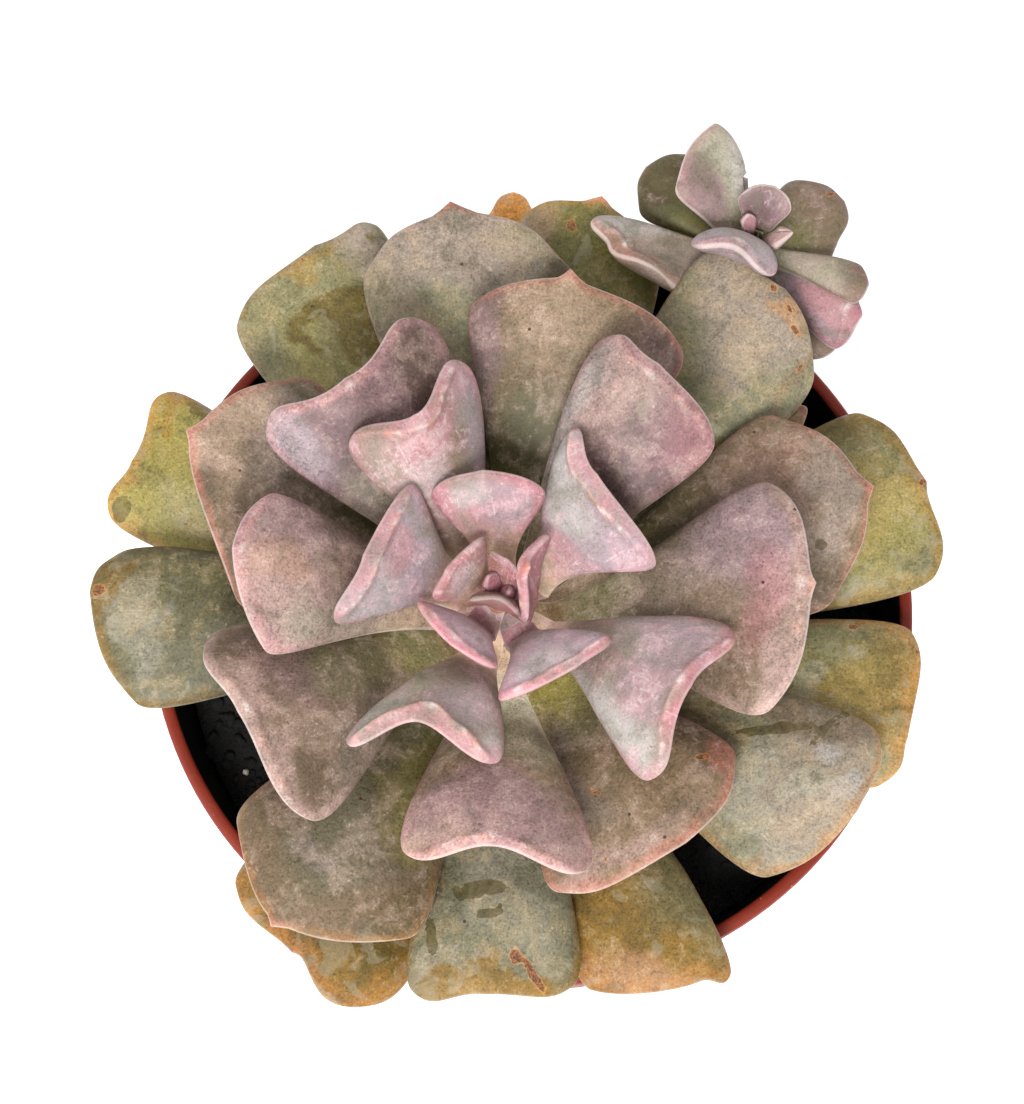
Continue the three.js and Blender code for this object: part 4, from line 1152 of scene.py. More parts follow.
        Mark(B.RUB, 0.78, 0.02, 1.2, 3, 20), Mark(B.RUB, 0.8, -0.62, 7, 1.4, 12),
        Mark(B.SCAR, 0.9, 0.22, 1.8, 1.3), Mark(B.SCAR, 0.935, 0.42, 5.5, 1.1, 35)), lip_width=1.8,
        bloom=0.6, shade=0.8),
    30: Look(T.SAGE, T.FERN, T.FAWN, (Wash(T.LIME, 0.62, 0.2, 0.25, 0.7, 0.5),
        Wash(T.GLAUCOUS, 0.62, -0.3, 0.2, 0.5, 0.6), Wash(T.DOVE, 0.95, -0.6, 0.14, 0.5, 0.9),
        Wash(T.OLIVE, 0.8, -0.1, 0.07, 0.6, 0.9, True), Wash(T.OLIVE, 0.72, -0.75, 0.15, 0.3, 0.8, True),
        Wash(T.OCHRE, 0.985, 0.3, 0.022, 0.45, 0.45, True)), (Mark(B.SCAR, 0.985, 0.1, 1.2, 0.5, 70),
        Mark(B.SCAR, 0.9, 0.6, 0.5, 0.4)), lip_width=1.4, lip_amount=0.5, shade=1.17),
    31: Look(T.SAGE, T.FERN, T.AMBER, (Wash(T.OCHRE, 0.9, 0.3, 0.16, 0.7, 0.6),
        Wash(T.LIME, 0.7, 0, 0.2, 0.6, 0.5), Wash(T.SILVER, 0.72, 0.2, 0.06, 0.3, 0.5, True)),
        (Mark(B.SCAR, 0.73, 0.85, 1.1, 0.8),), lip_amount=0.55, shade=1.12),
    33: Look(T.FERN, T.MOSS, T.OCHRE, (Wash(T.FAWN, 0.92, 0.75, 0.18, 0.5, 0.9),),
        (Mark(B.SCAR, 0.93, 0.16, 1.8, 1.2, 30),), lip_width=1.4, bloom=0.45, mucro=0.9, shade=1.35),
    34: Look(T.OCHRE, T.OLIVE, T.AMBER, (Wash(T.SAGE, 0.6, 0.4, 0.35, 0.8, 0.8),
        Wash(T.APRICOT, 0.95, -0.7, 0.12, 0.5), Wash(T.FAWN, 0.5, 0, 0.2, 0.4, 0.6),
        Wash(T.OLIVE, 0.55, -0.8, 0.2, 0.4)), lip_width=2.6, lip_amount=0.8, bloom=0.55, shade=0.818),
    35: Look(T.LIME, T.FERN, T.AMBER, (Wash(T.GLAUCOUS, 0.7, 0.2, 0.22, 0.5, 0.6),
        Wash(T.OLIVE, 0.8, -0.9, 0.16, 0.25, 0.8, True), Wash(T.OLIVE, 0.62, 0.1, 0.06, 0.3, 0.6, True),
        Wash(T.OCHRE, 0.95, -0.75, 0.06, 0.3, 0.6, True)), (Mark(B.RUB, 0.93, 0.75, 2.6, 3.4),
        Mark(B.SCAR, 0.76, 0.49, 0.7, 0.5)), lip_width=1.8, lip_amount=0.55, bloom=0.5, shade=1.08),
    36: Look(T.SAGE, T.OLIVE, T.OCHRE, (Wash(T.LIME, 0.8, -0.1, 0.25, 0.7, 0.8),
        Wash(T.OLIVE, 0.8, 0.85, 0.3, 0.3), Wash(T.OLIVE, 0.45, -0.6, 0.2, 0.6, 0.8),
        Wash(T.APRICOT, 0.87, 0, 0.15, 0.5, 0.15)), (Mark(B.SCAR, 0.99, 0, 1.4, 0.9),), lip_width=2.6,
        bloom=0.5, mucro=0.3, shade=1.11),
    37: Look(T.OCHRE, T.OLIVE, T.AMBER, (Wash(T.OLIVE, 0.85, 0.3, 0.25, 0.6, 0.9),
        Wash(T.OCHRE, 0.93, 0.5, 0.06, 0.3, 0.8)), lip_width=2.8, lip_amount=0.8, bloom=0.15, mucro=0.3,
        back=T.OCHRE, shade=0.76),
    38: Look(T.AMBER, T.OCHRE, T.APRICOT, lip_width=1, bloom=0.3, back=T.OCHRE, shade=1.89),
    39: Look(T.FAWN, T.OLIVE, T.CORAL, lip_width=1, bloom=0.5),
}

BUD_LEAVES = [
    (Leaf(0, -25, (1.3, 0, 23.5), (1, 1, 1), (1, 1, 1), seat=17.5),
     Look(T.ROSE, T.OCHRE, T.ROSE, bloom=0.1, back=T.ROSE, shade=0.5)),
    (Leaf(1, 140, (2, 0, 24), (1.5, 1.2, 1), (1.5, 1.2, 1), seat=17),
     Look(T.ROSE, T.OCHRE, T.ROSE, bloom=0.1, back=T.ROSE, shade=0.5)),
    (Leaf(2, -110, (1.8, 0.5, 24.5), (2.6, 3.5, 1), (3, 3.1, 1), seat=16.8),
     Look(T.SALMON, T.APRICOT, T.ROSE, ridge=0.6, inset=0.7, lip_width=1.2, bloom=0.1, back=T.ROSE,
         shade=0.46)),
    (Leaf(3, 65, (3.3, 0.7, 25), (3.4, 3.2, 0.8), (2.3, 1.5, 0.8), seat=16.5),
     Look(T.SALMON, T.LIME, T.ROSE, ridge=0.6, inset=0.7, lip_width=1.2, bloom=0.1, back=T.LIME,
         shade=0.43)),
]

SHOOT_LEAVES = [
    (Leaf(0, 138, (18.3, 0.3, 8), (15.3, 5, 1.5), (14.5, 6.2, 1.5), full=0.8, round=0.5, spread=(2, 12),
        seat=5),
     Look(T.MOSS, T.MOSS, T.TAUPE, (Wash(T.FERN, 0.8, -0.3, 0.3, 0.6),
         Wash(T.LIME, 0.3, 0.5, 0.3, 0.5, 0.3), Wash(T.UMBER, 0.85, 0.3, 0.2, 0.9, 0.6)), lip_width=1.2)),
    (Leaf(1, 115, (15.6, -1.8, 16), (10.3, 6.3, 1.5), (13.6, 2.7, 1.2), full=(0.8, 0.5), round=(0.4, 0.3),
        spread=(18, -14), seat=8.5),
     Look(T.SILVER, T.SAGE, T.PINK, (Wash(T.FROST_AND_GLINT, 0.5, -0.4, 0.4, 0.6),
         Wash(T.MAUVE, 0.6, 0.75, 0.6, 0.45, 0.9), Wash(T.GLAUCOUS, 0.15, 0, 0.25, 1.2)),
         (Mark(B.SCAR, 0.5, -0.4, 0.8, 0.2, 120),), lip_width=1.6, back=T.ORCHID, shade=0.95)),
    (Leaf(2, 65, (6.2, -0.3, 17), (3.6, 3.4, 1.2), (4.8, 3.4, 1.2), full=0.9, round=0.4, spread=(-24, -14),
        seat=9.5),
     Look(T.MAUVE, T.SAGE, T.BLUSH, (Wash(T.PLUM, 0.65, 0.2, 0.35, 0.7, 0.6),), lip_width=1, lip_amount=0.8,
         back=T.MAUVE, shade=0.85)),
    (Leaf(3, 30, (14.9, -0.5, 8), (12, 5.3, 1.5), (9.3, 6.3, 1.5), full=0.9, round=0.7, seat=5.5),
     Look(T.SAGE, T.FERN, T.MAUVE, (Wash(T.TAUPE, 0.85, 0.2, 0.4, 1.2, 0.9),
         Wash(T.FERN, 0.5, -0.3, 0.25, 0.5)), (Mark(B.SCAR, 0.93, 0.2, 1.4, 0.7),), lip_width=1.6,
         lip_amount=0.8, back=T.SAGE)),
    (Leaf(4, 188, (19.3, -0.6, 14.5), (12.2, 4.6, 1.5), (20.5, 5.4, 1.5), full=0.5, round=0.8,
        spread=(12, -8), arch=-14, seat=5.5, size=1),
     Look(T.DOVE, T.SAGE, T.SALMON, (Wash(T.FROST_AND_GLINT, 0.75, -0.6, 0.3, 0.4),
         Wash(T.CORAL, 0.9, 0.5, 0.1, 0.4, 0.35)), ridge=1, inset=2.2, lip_width=1.4, back=T.DOVE)),
    (Leaf(5, -115, (4.6, -0.8, 18.3), (5.4, 4.7, 2.2), (5.8, 6.3, 2.2), full=0.4, round=0.5, seat=9.5,
        size=0.85),
     Look(T.LILAC, T.LILAC, T.PINK, (Wash(T.FROST_AND_GLINT, 0.7, 0, 0.3, 0.7),), ridge=0.5, inset=1.2, lip_width=1,
         back=T.LILAC)),
    (Leaf(6, -8, (5.4, 0.6, 14.5), (3.4, 0.8, 0.8), (3.2, 1.5, 0.8), seat=10),
     Look(T.BLUSH, T.SAGE, T.PINK, back=T.BLUSH, shade=0.9)),
    (Leaf(7, 110, (2, 0, 16), (1.5, 1, 1), (1.5, 1, 1), seat=11),
     Look(T.MAUVE, T.SAGE, T.ROSE, back=T.MAUVE)),
    (Leaf(8, -18, (16.9, -1, 10.5), (15.3, 1.5, 0.6), (15.9, 3.6, 1), full=0.5, spread=(-4, -2), seat=6.5),
     Look(T.TAUPE, T.GLAUCOUS, T.MAUVE, (Wash(T.SILVER, 0.5, 0, 0.45, 0.9),
         Wash(T.PLUM, 0.88, 0.3, 0.12, 0.8, 0.5)), lip_width=1, back=T.TAUPE, shade=1.12)),
    (Leaf(9, -33, (17.9, 0, 8), (15.8, 1.8, 1), (17.2, 5, 2), round=0.4, spread=(0, 8), seat=4.5, size=0.95),
     Look(T.ORCHID, T.GLAUCOUS, T.ROSE, (Wash(T.PINK, 0.75, 0, 0.3, 0.7, 0.9),), ridge=0.8, inset=2.4,
         lip_width=1.6, back=T.DOVE)),
    (Leaf(10, -50, (17.5, 0, 4), (15, 4, 1), (15, 4, 1), round=0.5, seat=3.5),
     Look(T.TAUPE, T.FERN, T.OLIVE)),
]


@dataclass(frozen=True)
class Tier:
    """What the leaves up to an age share: the slot, the painted glow in the heart and its reach, the
    crispness of the paint and the painted shade from root to front.
    """

    slot: str
    last: int
    heart: float
    reach: float
    crisp: float
    rise: float


@dataclass
class Rosette:
    """The main rosette: its leaves, the growing tip and the stem that carries them."""

    axis: Pair = STEM_AXIS
    rim: float = RIM_HEIGHT
    stem_radius: float = 5.5
    stem_top: float = 15.5
    shoulder: float = 9
    tip_radius: float = 1.8
    seat_top: float = 18.6
    seat_step: float = 0.68
    clearance: float = 0.3
    setback: float = 0.6
    root_thickness: float = 2.2
    foot: float = -33.7
    waist: float = 1.2
    rings: int = 90
    sides: int = 56
    bud_seed: int = 200
    bud_low: float = 0.3
    bud_waist: float = 2.3
    bud_top: float = 21
    bud_root: float = 0.6
    bud_sides: int = 32
    scars: int = 60
    scar_turn: float = 137.5
    scar_step: float = 0.8
    scar_size: Pair = (1.7, 0.7)
    pointed: frozenset[int] = frozenset((*range(11), 14))
    tight: float = 0.9
    loose: float = 1.5
    tiers: tuple[Tier, ...] = (
        Tier("inner_leaf", 13, 0.85, 14, 0.0, 0.1),
        Tier("middle_leaf", 24, 0.85, 25, 0.3, 0.3),
        Tier("outer_leaf", 39, 0.5, 25, 0.45, 0.32),
    )

    @property
    def origin(self) -> Triple:
        """The stem's axis at the height of the rim."""
        return (*self.axis, self.rim)

    def radius(self, height: float | Array) -> Array:
        """The stem's radius at a height above the rim."""
        share = np.clip((np.asarray(height) - self.shoulder) / (self.stem_top - self.shoulder), 0, 1)
        return self.stem_radius + (self.tip_radius - self.stem_radius) * share**1.5

    def blade(self, leaf: Leaf) -> Blade:
        """Seats a leaf on the stem by its age."""
        seat = self.seat_top - self.seat_step * leaf.age if leaf.seat is None else leaf.seat
        radius = float(self.radius(seat))
        climb = math.atan2(leaf.tip[2] - seat, leaf.tip[0] - radius) + math.radians(leaf.arch)
        lean = math.sin(min(climb, math.pi / 2))
        root = radius + self.clearance + self.setback * self.root_thickness * lean
        soften = self.tight if leaf.age in self.pointed else self.loose
        return Blade(leaf, seat, root, self.origin, soften=soften)

    def dress_leaves(self, finishes: dict[str, Material]) -> None:
        """Makes every large leaf and puts it in place of its solid."""
        for leaf in LEAVES:
            tier = next(t for t in self.tiers if leaf.age <= t.last)
            skin = Skin(self.blade(leaf), LOOKS[leaf.age], leaf.age, heart=tier.heart,
                        heart_reach=tier.reach, crisp=tier.crisp, rise=tier.rise)
            name = f"leaf_{leaf.age:02d}"
            hand_over(finished(skin.build(name), f"{name}_skin", finishes[tier.slot]), tier.slot, name)

    def dress_tip(self, finish: Material) -> None:
        """Makes the growing tip: its youngest leaves round a soft cone."""
        low, waist, top = self.stem_top + self.bud_low, self.stem_top + self.bud_waist, self.bud_top
        heights = np.concatenate([[low], np.linspace(low, waist, 6), np.linspace(waist, top, 12)[1:]])
        widths = self.tip_radius * np.minimum(1, (top - heights) / (top - waist))
        widths[0] = 0
        parts = [lathe("bud_cone", widths, heights + self.rim, self.bud_sides, self.axis)]
        paint_plain(parts[0], T.APRICOT, 0.6)
        for leaf, look in BUD_LEAVES:
            blade = Blade(leaf, leaf.seat, self.bud_root, self.origin)
            skin = Skin(blade, look, self.bud_seed + leaf.age, 26, 24, wave_height=0.03, ridge_width=0.4,
                        ridge_height=0.25, heart=0.2, heart_reach=2.6, foot_rise=0)
            parts.append(skin.build("bud_part"))
        hand_over(finished(joined(parts), "growing_tip_skin", finish), "inner_leaf", "growing_tip")

    def dress_stem(self, finish: Material) -> None:
        """Makes the corky stem with the scars of shed leaves."""
        heights = np.linspace(self.foot, self.stem_top, self.rings)
        profile = np.concatenate([[0], self.radius(heights) - self.waist * smooth_step(3, 9, heights), [0]])
        heights = np.concatenate([[self.foot], heights, [self.stem_top]])
        piece = lathe("stem_skin", profile, heights + self.rim, self.sides, self.axis)
        points = corners_of(piece) - np.array(self.origin)
        turn, radius = np.arctan2(points[:, 1], points[:, 0]), np.hypot(points[:, 0], points[:, 1])
        dent = np.zeros(len(points))
        for k in range(self.scars):
            angle, level = math.radians(self.scar_turn * k), self.foot + 2 + self.scar_step * k
            near = np.angle(np.exp(1j * (turn - angle))) * radius
            across, along = self.scar_size
            dent = np.maximum(dent, bell(near, across) * bell(points[:, 2] - level, along))
        shrink = 1 - (0.45 * dent + 0.06 * ripple(points, 5, 3)) / np.maximum(radius, 1) * (radius > 1)
        points[:, :2] *= shrink[:, None]
        piece.data.vertices.foreach_set("co", ((points + np.array(self.origin)) * MM).ravel())
        hand_over(finished(piece, "stem_skin", finish), "stem_bark", "stem")


def lathe(name: str, radii: Array, heights: Array, sides: int, axis: Pair) -> Piece:
    """Turns a closed profile round an upright axis; it starts and ends on the axis."""
    way = around(sides)
    rings = [np.column_stack([way * r + np.array(axis), np.full(sides, h)]) for r, h in zip(radii, heights)]
    points = np.concatenate([rings[0][:1], *rings[1:-1], rings[-1][:1]])
    points[[0, -1], :2] = axis
    faces, last, top = [], len(points) - 1, len(points) - 1 - sides
    for k in range(sides):
        n = (k + 1) % sides
        faces.append([0, 1 + n, 1 + k])
        faces += [[a + k, a + n, a + sides + n, a + sides + k] for a in range(1, top, sides)]
        faces.append([top + k, top + n, last])
    return placed(name, points, faces)


def paint_plain(piece: Piece, tint: Tint, bloom: float) -> None:
    """Gives a piece of leaf skin one tint and no marks."""
    lie = corners_of(piece)
    carry(piece, "tint", np.tile(tint.linear, (len(lie), 1)))
    carry(piece, "lie", lie)
    plain = {"bloom": bloom, "edge": 9.0, "glow": 0.0} | {brush.value: Skin.outside for brush in Brush}
    for name, value in plain.items():
        carry(piece, name, np.full(len(lie), value))


def joined(parts: list[Piece]) -> Piece:
    """Joins pieces of one skin into one mesh."""
    with bpy.context.temp_override(active_object=parts[0], selected_editable_objects=parts):
        bpy.ops.object.join()
    return parts[0]


# Geometry node trees


class Grower:
    """Runs a geometry node tree on an object and keeps the result as a plain mesh."""

    def __init__(self, name: str, sizes: dict[str, float]) -> None:
        """Starts a tree with one named input for each size."""
        self.tree = bpy.data.node_groups.new(name, "GeometryNodeTree")
        self.graph = Graph(self.tree)
        face = self.tree.interface
        for way in ("INPUT", "OUTPUT"):
            face.new_socket("Geometry", in_out=way, socket_type="NodeSocketGeometry")
        self.sizes = sizes
        for label, value in sizes.items():
            kind = "NodeSocketInt" if isinstance(value, int) else "NodeSocketFloat"
            face.new_socket(label, in_out="INPUT", socket_type=kind)
        self.source = self.graph.add("NodeGroupInput")

    def add(self, kind: str, inputs: dict[int | str, Any] | None = None, **settings: Any) -> Socket:
        """Adds a geometry node of a kind."""
        return self.graph.add(f"GeometryNode{kind}", settings, inputs)

    def size(self, label: str) -> Socket:
        """One of the tree's named inputs."""
        return self.source.sibling(label)

    def ring(self, count: str, radius: str) -> Socket:
        """A circle, by the names of the inputs for its points and its radius."""
        inputs = {"Resolution": self.size(count), "Radius": self.size(radius)}
        return self.add("CurvePrimitiveCircle", inputs)

    def end(self, shape: Socket, material: Material) -> None:
        """Realizes what grew and sets its material."""
        real = self.add("RealizeInstances", {0: shape})
        done = self.add("SetMaterial", {"Geometry": real, "Material": material})
        self.graph.add("NodeGroupOutput", {}, {0: done})

    def grow(self, piece: Piece) -> Piece:
        """Applies the tree to a piece.

        Args:
            piece: The object whose mesh the tree starts from.

        Returns:
            The same object, with the grown mesh and no modifier.
        """
        modifier = piece.modifiers.new(self.tree.name, "NODES")
        modifier.node_group = self.tree
        for item in self.tree.interface.items_tree:
            if item.in_out == "INPUT" and item.name in self.sizes:
                modifier[item.identifier] = self.sizes[item.name]
        bpy.context.view_layer.update()
        seen = piece.evaluated_get(bpy.context.evaluated_depsgraph_get())
        mesh = bpy.data.meshes.new_from_object(seen)
        piece.modifiers.remove(modifier)
        piece.data = mesh
        mesh.shade_smooth()
        return piece


def line_to(start: Pair, end: Pair, count: int) -> list[Pair]:
    """Even points on a straight line, without its start."""
    return [(start[0] + (end[0] - start[0]) * t, start[1] + (end[1] - start[1]) * t)
            for t in np.linspace(0, 1, count)[1:]]


def arc_round(centre: Pair, radius: float, start: float, end: float, count: int) -> list[Pair]:
    """Even points on an arc between two angles in radians."""
    x, z = centre
    return [(x + radius * math.cos(a), z + radius * math.sin(a)) for a in np.linspace(start, end, count)]


@dataclass
class Pot:
    """The nursery pot: a thin tapering wall with a deep collar, turned from one profile."""

    height: float = RIM_HEIGHT
    rim_radius: float = 51
    lip: float = 1.9
    collar_height: float = 10
    collar_step: float = 1.6
    collar_edge: float = 0.5
    collar_soft: float = 0.3
    flare: float = 0.8
    rim_round: float = 0.8
    wall: float = 1.3
    base_radius: float = 37
    floor: float = 1.8
    bevel: float = 1
    segments: int = 144
    drain_holes: int = 6
    drain_radius: float = 4
    drain_circle: float = 27
    drain_sides: int = 28
    drain_depth: float = 12
    seam: float = 0.01

    @property
    def shoulder(self) -> float:
        """The height of the collar's lower edge."""
        return self.height - self.collar_height

    @property
    def body(self) -> float:
        """The wall's outer radius under the collar."""
        return self.rim_radius - self.collar_step - self.flare

    def profile(self) -> list[Pair]:
        """The half section, from the middle of the base round the rim to the middle of the floor."""
        quarter, small = math.pi / 2, self.rim_round
        shoulder, body, inside = self.shoulder, self.body, self.rim_radius - self.lip
        collar, start = self.rim_radius - self.flare, (self.base_radius, self.bevel)
        wall = arc_round((self.base_radius - self.bevel, self.bevel), self.bevel, 0.3 - quarter, 0, 5)
        wall += line_to(start, (body, shoulder - 0.4), 14)
        wall += [(body + 0.15, shoulder - 0.1), (body + 0.4, shoulder), (collar - 0.3, shoulder),
                 (collar - 0.05, shoulder + self.collar_soft)]
        low = (collar, shoulder + self.collar_edge)
        high = (self.rim_radius, self.height - self.rim_round * 2)
        wall += [low, *line_to(low, high, 5)]
        wall += arc_round((self.rim_radius - small, self.height - small), small, 0.25, quarter, 6)
        wall += arc_round((inside + small, self.height - small), small, quarter + 0.2, math.pi, 6)
        ledge = (body - self.wall, shoulder - self.collar_step)
        wall += line_to((inside, self.height - small), ledge, 6)
        wall += line_to(ledge, (self.base_radius - self.wall, self.floor), 12)
        return [(0.0, 0.0), (self.base_radius - self.bevel, 0.0), *wall, (0.0, self.floor)]

    def build(self, finish: Material) -> None:
        """Turns the profile, drills the floor and marks the inside."""
        grower = Grower("pot_turning", {
            "Segments": self.segments, "Axis Radius": 1e-6, "Drain Holes": self.drain_holes,
            "Drain Radius": self.drain_radius * MM, "Drain Circle": self.drain_circle * MM})
        line = grower.add("MeshToCurve", {0: grower.source})
        turned = grower.add("CurveToMesh", {0: grower.ring("Segments", "Axis Radius"), 1: line})
        shell = grower.add("MergeByDistance", {0: turned, "Distance": self.seam * MM})
        ring = grower.ring("Drain Holes", "Drain Circle")
        spots = grower.add("CurveToPoints", {0: ring}, mode="EVALUATED")
        size = {"Vertices": self.drain_sides, "Radius": grower.size("Drain Radius"),
                "Depth": self.drain_depth * MM}
        drill = grower.add("MeshCylinder", size)
        drills = grower.add("InstanceOnPoints", {"Points": spots, "Instance": drill})
        turn = (0, 0, math.pi / self.drain_holes)
        drills = grower.add("Transform", {0: grower.add("RealizeInstances", {0: drills}), "Rotation": turn})
        grower.end(grower.add("MeshBoolean", {0: shell, 1: drills}, operation="DIFFERENCE"), finish)
        piece = grower.grow(polyline("pot_shell", [(x, -z, 0) for x, z in reversed(self.profile())]))
        points = corners_of(piece)
        up, radius = points[:, 2], np.hypot(points[:, 0], points[:, 1])
        levels = [self.floor, self.shoulder - self.collar_step, self.height - 0.3]
        hollow = [self.base_radius - self.wall, self.body - self.wall, self.rim_radius - self.lip]
        inner = (up > self.floor - 0.1) & (up < levels[2]) & (radius < np.interp(up, levels, hollow) + 0.4)
        carry(piece, "inner", inner.astype(float))
        hand_over(finished(piece, "pot_shell", finish), "pot_plastic", "pot")


@dataclass
class Soil:
    """The peat that fills the pot, with loose crumbs and white grains on top."""

    level: float = 71
    relief: float = 0.9
    broad: float = 5
    fine: float = 2.4
    radius: float = 46.9
    low_radius: float = 35.4
    low: float = 2.1
    stem: Pair = STEM_AXIS
    bore: float = 5.8
    depth: float = 22
    sides: int = 120
    rings: int = 40
    middle: float = 0.01
    crumb_density: float = 0.32
    crumbs: Pair = (0.3, 1.3)
    crumb_seed: int = 4
    grain_density: float = 0.012
    grains: Pair = (0.25, 0.9)
    grain_seed: int = 9
    girth_seed: int = 11
    grade_seed: int = 23

    def heap(self, x: Array, y: Array) -> Array:
        """Low heaps and hollows over the mean level."""
        broad = np.sin(x / self.broad + 1.3) * np.cos(y / self.broad - 0.6)
        fine = np.sin((x - y) / self.fine) * np.cos((x + y) / self.fine)
        return self.relief * (broad + fine) / 2

    def body(self) -> Piece:
        """The solid peat, with the hole that the stem stands in."""
        way, centre, deep = around(self.sides), np.array(self.stem), self.level - self.depth
        layers = [(centre + way * self.middle, deep), (centre + way * self.bore, deep)]
        for t in np.linspace(0, 1, self.rings) ** 0.8:
            flat = (centre + way * self.bore) * (1 - t) + way * self.radius * t
            layers.append((flat, self.level + self.heap(flat[:, 0], flat[:, 1])))
        layers += [(way * self.low_radius, self.low), (way * self.middle, self.low)]
        points = [np.column_stack([flat, np.broadcast_to(up, self.sides)]) for flat, up in layers]
        turn = list(range(self.sides))
        faces = []
        for start in range(0, (len(layers) - 1) * self.sides, self.sides):
            for k in turn:
                a, b = start + k, start + (k + 1) % self.sides
                faces.append([a, a + self.sides, b + self.sides, b])
        last = (len(layers) - 1) * self.sides
        return placed("peat", np.concatenate(points), [*faces, turn, [last + k for k in reversed(turn)]])

    def scatter(self, name: str, density: float, grades: Pair, seed: int, finish: Material,
                keep: bool) -> Piece:
        """Strews rough grains over the upward faces of the peat.

        Args:
            name: The piece's name.
            density: Grains for each square millimetre.
            grades: The least and the greatest radius of a grain in millimetres.
            seed: The seed of their places.
            finish: Their material.
            keep: Whether the peat stays in the result.

        Returns:
            The grown piece.
        """
        least, greatest = (grade * MM for grade in grades)
        sizes = {"Density": density / MM**2, "Least": least, "Greatest": greatest, "Seed": seed}
        grower = Grower(name, sizes)
        graph = grower.graph

        def drawn(kind: str, inputs: dict[int | str, Any], output: int) -> Socket:
            """One random value for each grain."""
            return graph.add("FunctionNodeRandomValue", {"data_type": kind}, inputs, output)

        upward, place = graph.height(grower.add("InputNormal")), graph.height(grower.add("InputPosition"))
        open_face = graph.math("GREATER_THAN", upward, 0.5)
        open_face *= graph.math("GREATER_THAN", place, (self.level - 4) * MM)
        inputs = {"Mesh": grower.source, "Selection": open_face}
        inputs |= {label: grower.size(label) for label in ("Density", "Seed")}
        spots = grower.add("DistributePointsOnFaces", inputs)
        ball = grower.add("MeshIcoSphere", {"Radius": 1.0, "Subdivisions": 1})
        spin = drawn("FLOAT_VECTOR", {0: (0, 0, 0), 1: (6.28, 6.28, 6.28), "Seed": grower.size("Seed")}, 0)
        limits = {0: (0.55, 0.6, 0.45), 1: (1.4, 1.2, 1.0), "Seed": self.girth_seed}
        girth = drawn("FLOAT_VECTOR", limits, 0)
        limits = {2: grower.size("Least"), 3: grower.size("Greatest"), "Seed": self.grade_seed}
        grade = drawn("FLOAT", limits, 1)
        inputs = {"Points": spots, "Instance": ball, "Rotation": spin, "Scale": graph.scaled(girth, grade)}
        grains = grower.add("InstanceOnPoints", inputs)
        if keep:
            grains = grower.add("JoinGeometry", {0: grains})
            graph.tree.links.new(grower.source.link, grains.link.node.inputs[0])
        grower.end(grains, finish)
        return finished(grower.grow(self.body()), name, finish)

    def build(self, peat: Material, grain: Material) -> None:
        """Makes the peat with its crumbs, and the white grains on it."""
        strewn = (
            self.scatter("peat_heap", self.crumb_density, self.crumbs, self.crumb_seed, peat, True),
            self.scatter("perlite", self.grain_density, self.grains, self.grain_seed, grain, False),
        )
        for piece in strewn:
            hand_over(piece, "peat", "soil")


@dataclass
class SideShoot:
    """The side shoot: a stalk that crosses the rim and a small rosette at its end."""

    axis: Pair = STEM_AXIS
    rim: float = RIM_HEIGHT
    azimuth: float = 57
    radius: float = 1.9
    route: tuple[Pair, ...] = ((7.7, -9), (20, -8.5), (36, -5.5), (48, 0), (55.5, 3.2), (60, 5), (61.5, 12))
    spans: int = 14
    steps: int = 120
    sides: int = 20
    leaf_seed: int = 300
    leaf_root: float = 0.6
    roughness: float = 0.5

    def way(self) -> Array:
        """Points of the stalk's middle line, a smooth curve through its route."""
        turn = math.radians(self.azimuth)
        out, up = np.array(self.route, float).T
        flat = [out * part + at for part, at in zip((math.cos(turn), math.sin(turn)), self.axis)]
        stops = np.column_stack([*flat, up + self.rim])
        ends = np.concatenate([[2 * stops[0] - stops[1]], stops, [2 * stops[-1] - stops[-2]]])
        line = [stops[:1]]
        for a, b, c, d in zip(ends, ends[1:], ends[2:], ends[3:]):
            ab, bc, cd = (max(np.linalg.norm(q - p) ** 0.5, 1e-4) for p, q in ((a, b), (b, c), (c, d)))
            first = ((b - a) / ab - (c - a) / (ab + bc) + (c - b) / bc) * bc / 3
            second = ((c - b) / bc - (d - b) / (bc + cd) + (d - c) / cd) * bc / 3
            line.append(Bend(b, first, c, second).at(np.linspace(0, 1, self.spans)[1:]))
        return np.concatenate(line)

    def stalk(self, finish: Material) -> Piece:
        """Sweeps the stalk along its route."""
        sizes = {"Radius": self.radius * MM, "Sides": self.sides, "Steps": self.steps}
        grower = Grower("stalk_sweep", sizes)
        graph = grower.graph
        line = grower.add("MeshToCurve", {0: grower.source})
        line = grower.add("ResampleCurve", {0: line, "Count": grower.size("Steps")})
        tube = grower.add("CurveToMesh", {0: line, 1: grower.ring("Sides", "Radius"), "Fill Caps": True})
        rough = graph.noise(graph.scaled(grower.add("InputPosition"), 1 / MM), 0.35, 2) - 0.55
        shift = graph.scaled(grower.add("InputNormal"), rough * (self.roughness * MM))
        grower.end(grower.add("SetPosition", {0: tube, "Offset": shift}), finish)
        return grower.grow(polyline("stalk", self.way()))

    def build(self, finish: Material) -> None:
        """Makes the stalk and its leaves as one piece."""
        end = self.way()[-1]
        parts = [self.stalk(finish)]
        paint_plain(parts[0], T.FERN, 0.4)
        for leaf, look in SHOOT_LEAVES:
            blade = Blade(leaf, leaf.seat, self.leaf_root, (end[0], end[1], self.rim))
            skin = Skin(blade, look, self.leaf_seed + leaf.age, 44, 40, ridge_width=0.4, ridge_height=0.3,
                        wave_height=0.08)
            parts.append(skin.build("shoot_part"))
        hand_over(finished(joined(parts), "side_shoot_skin", finish), "shoot_leaf", "side_shoot")


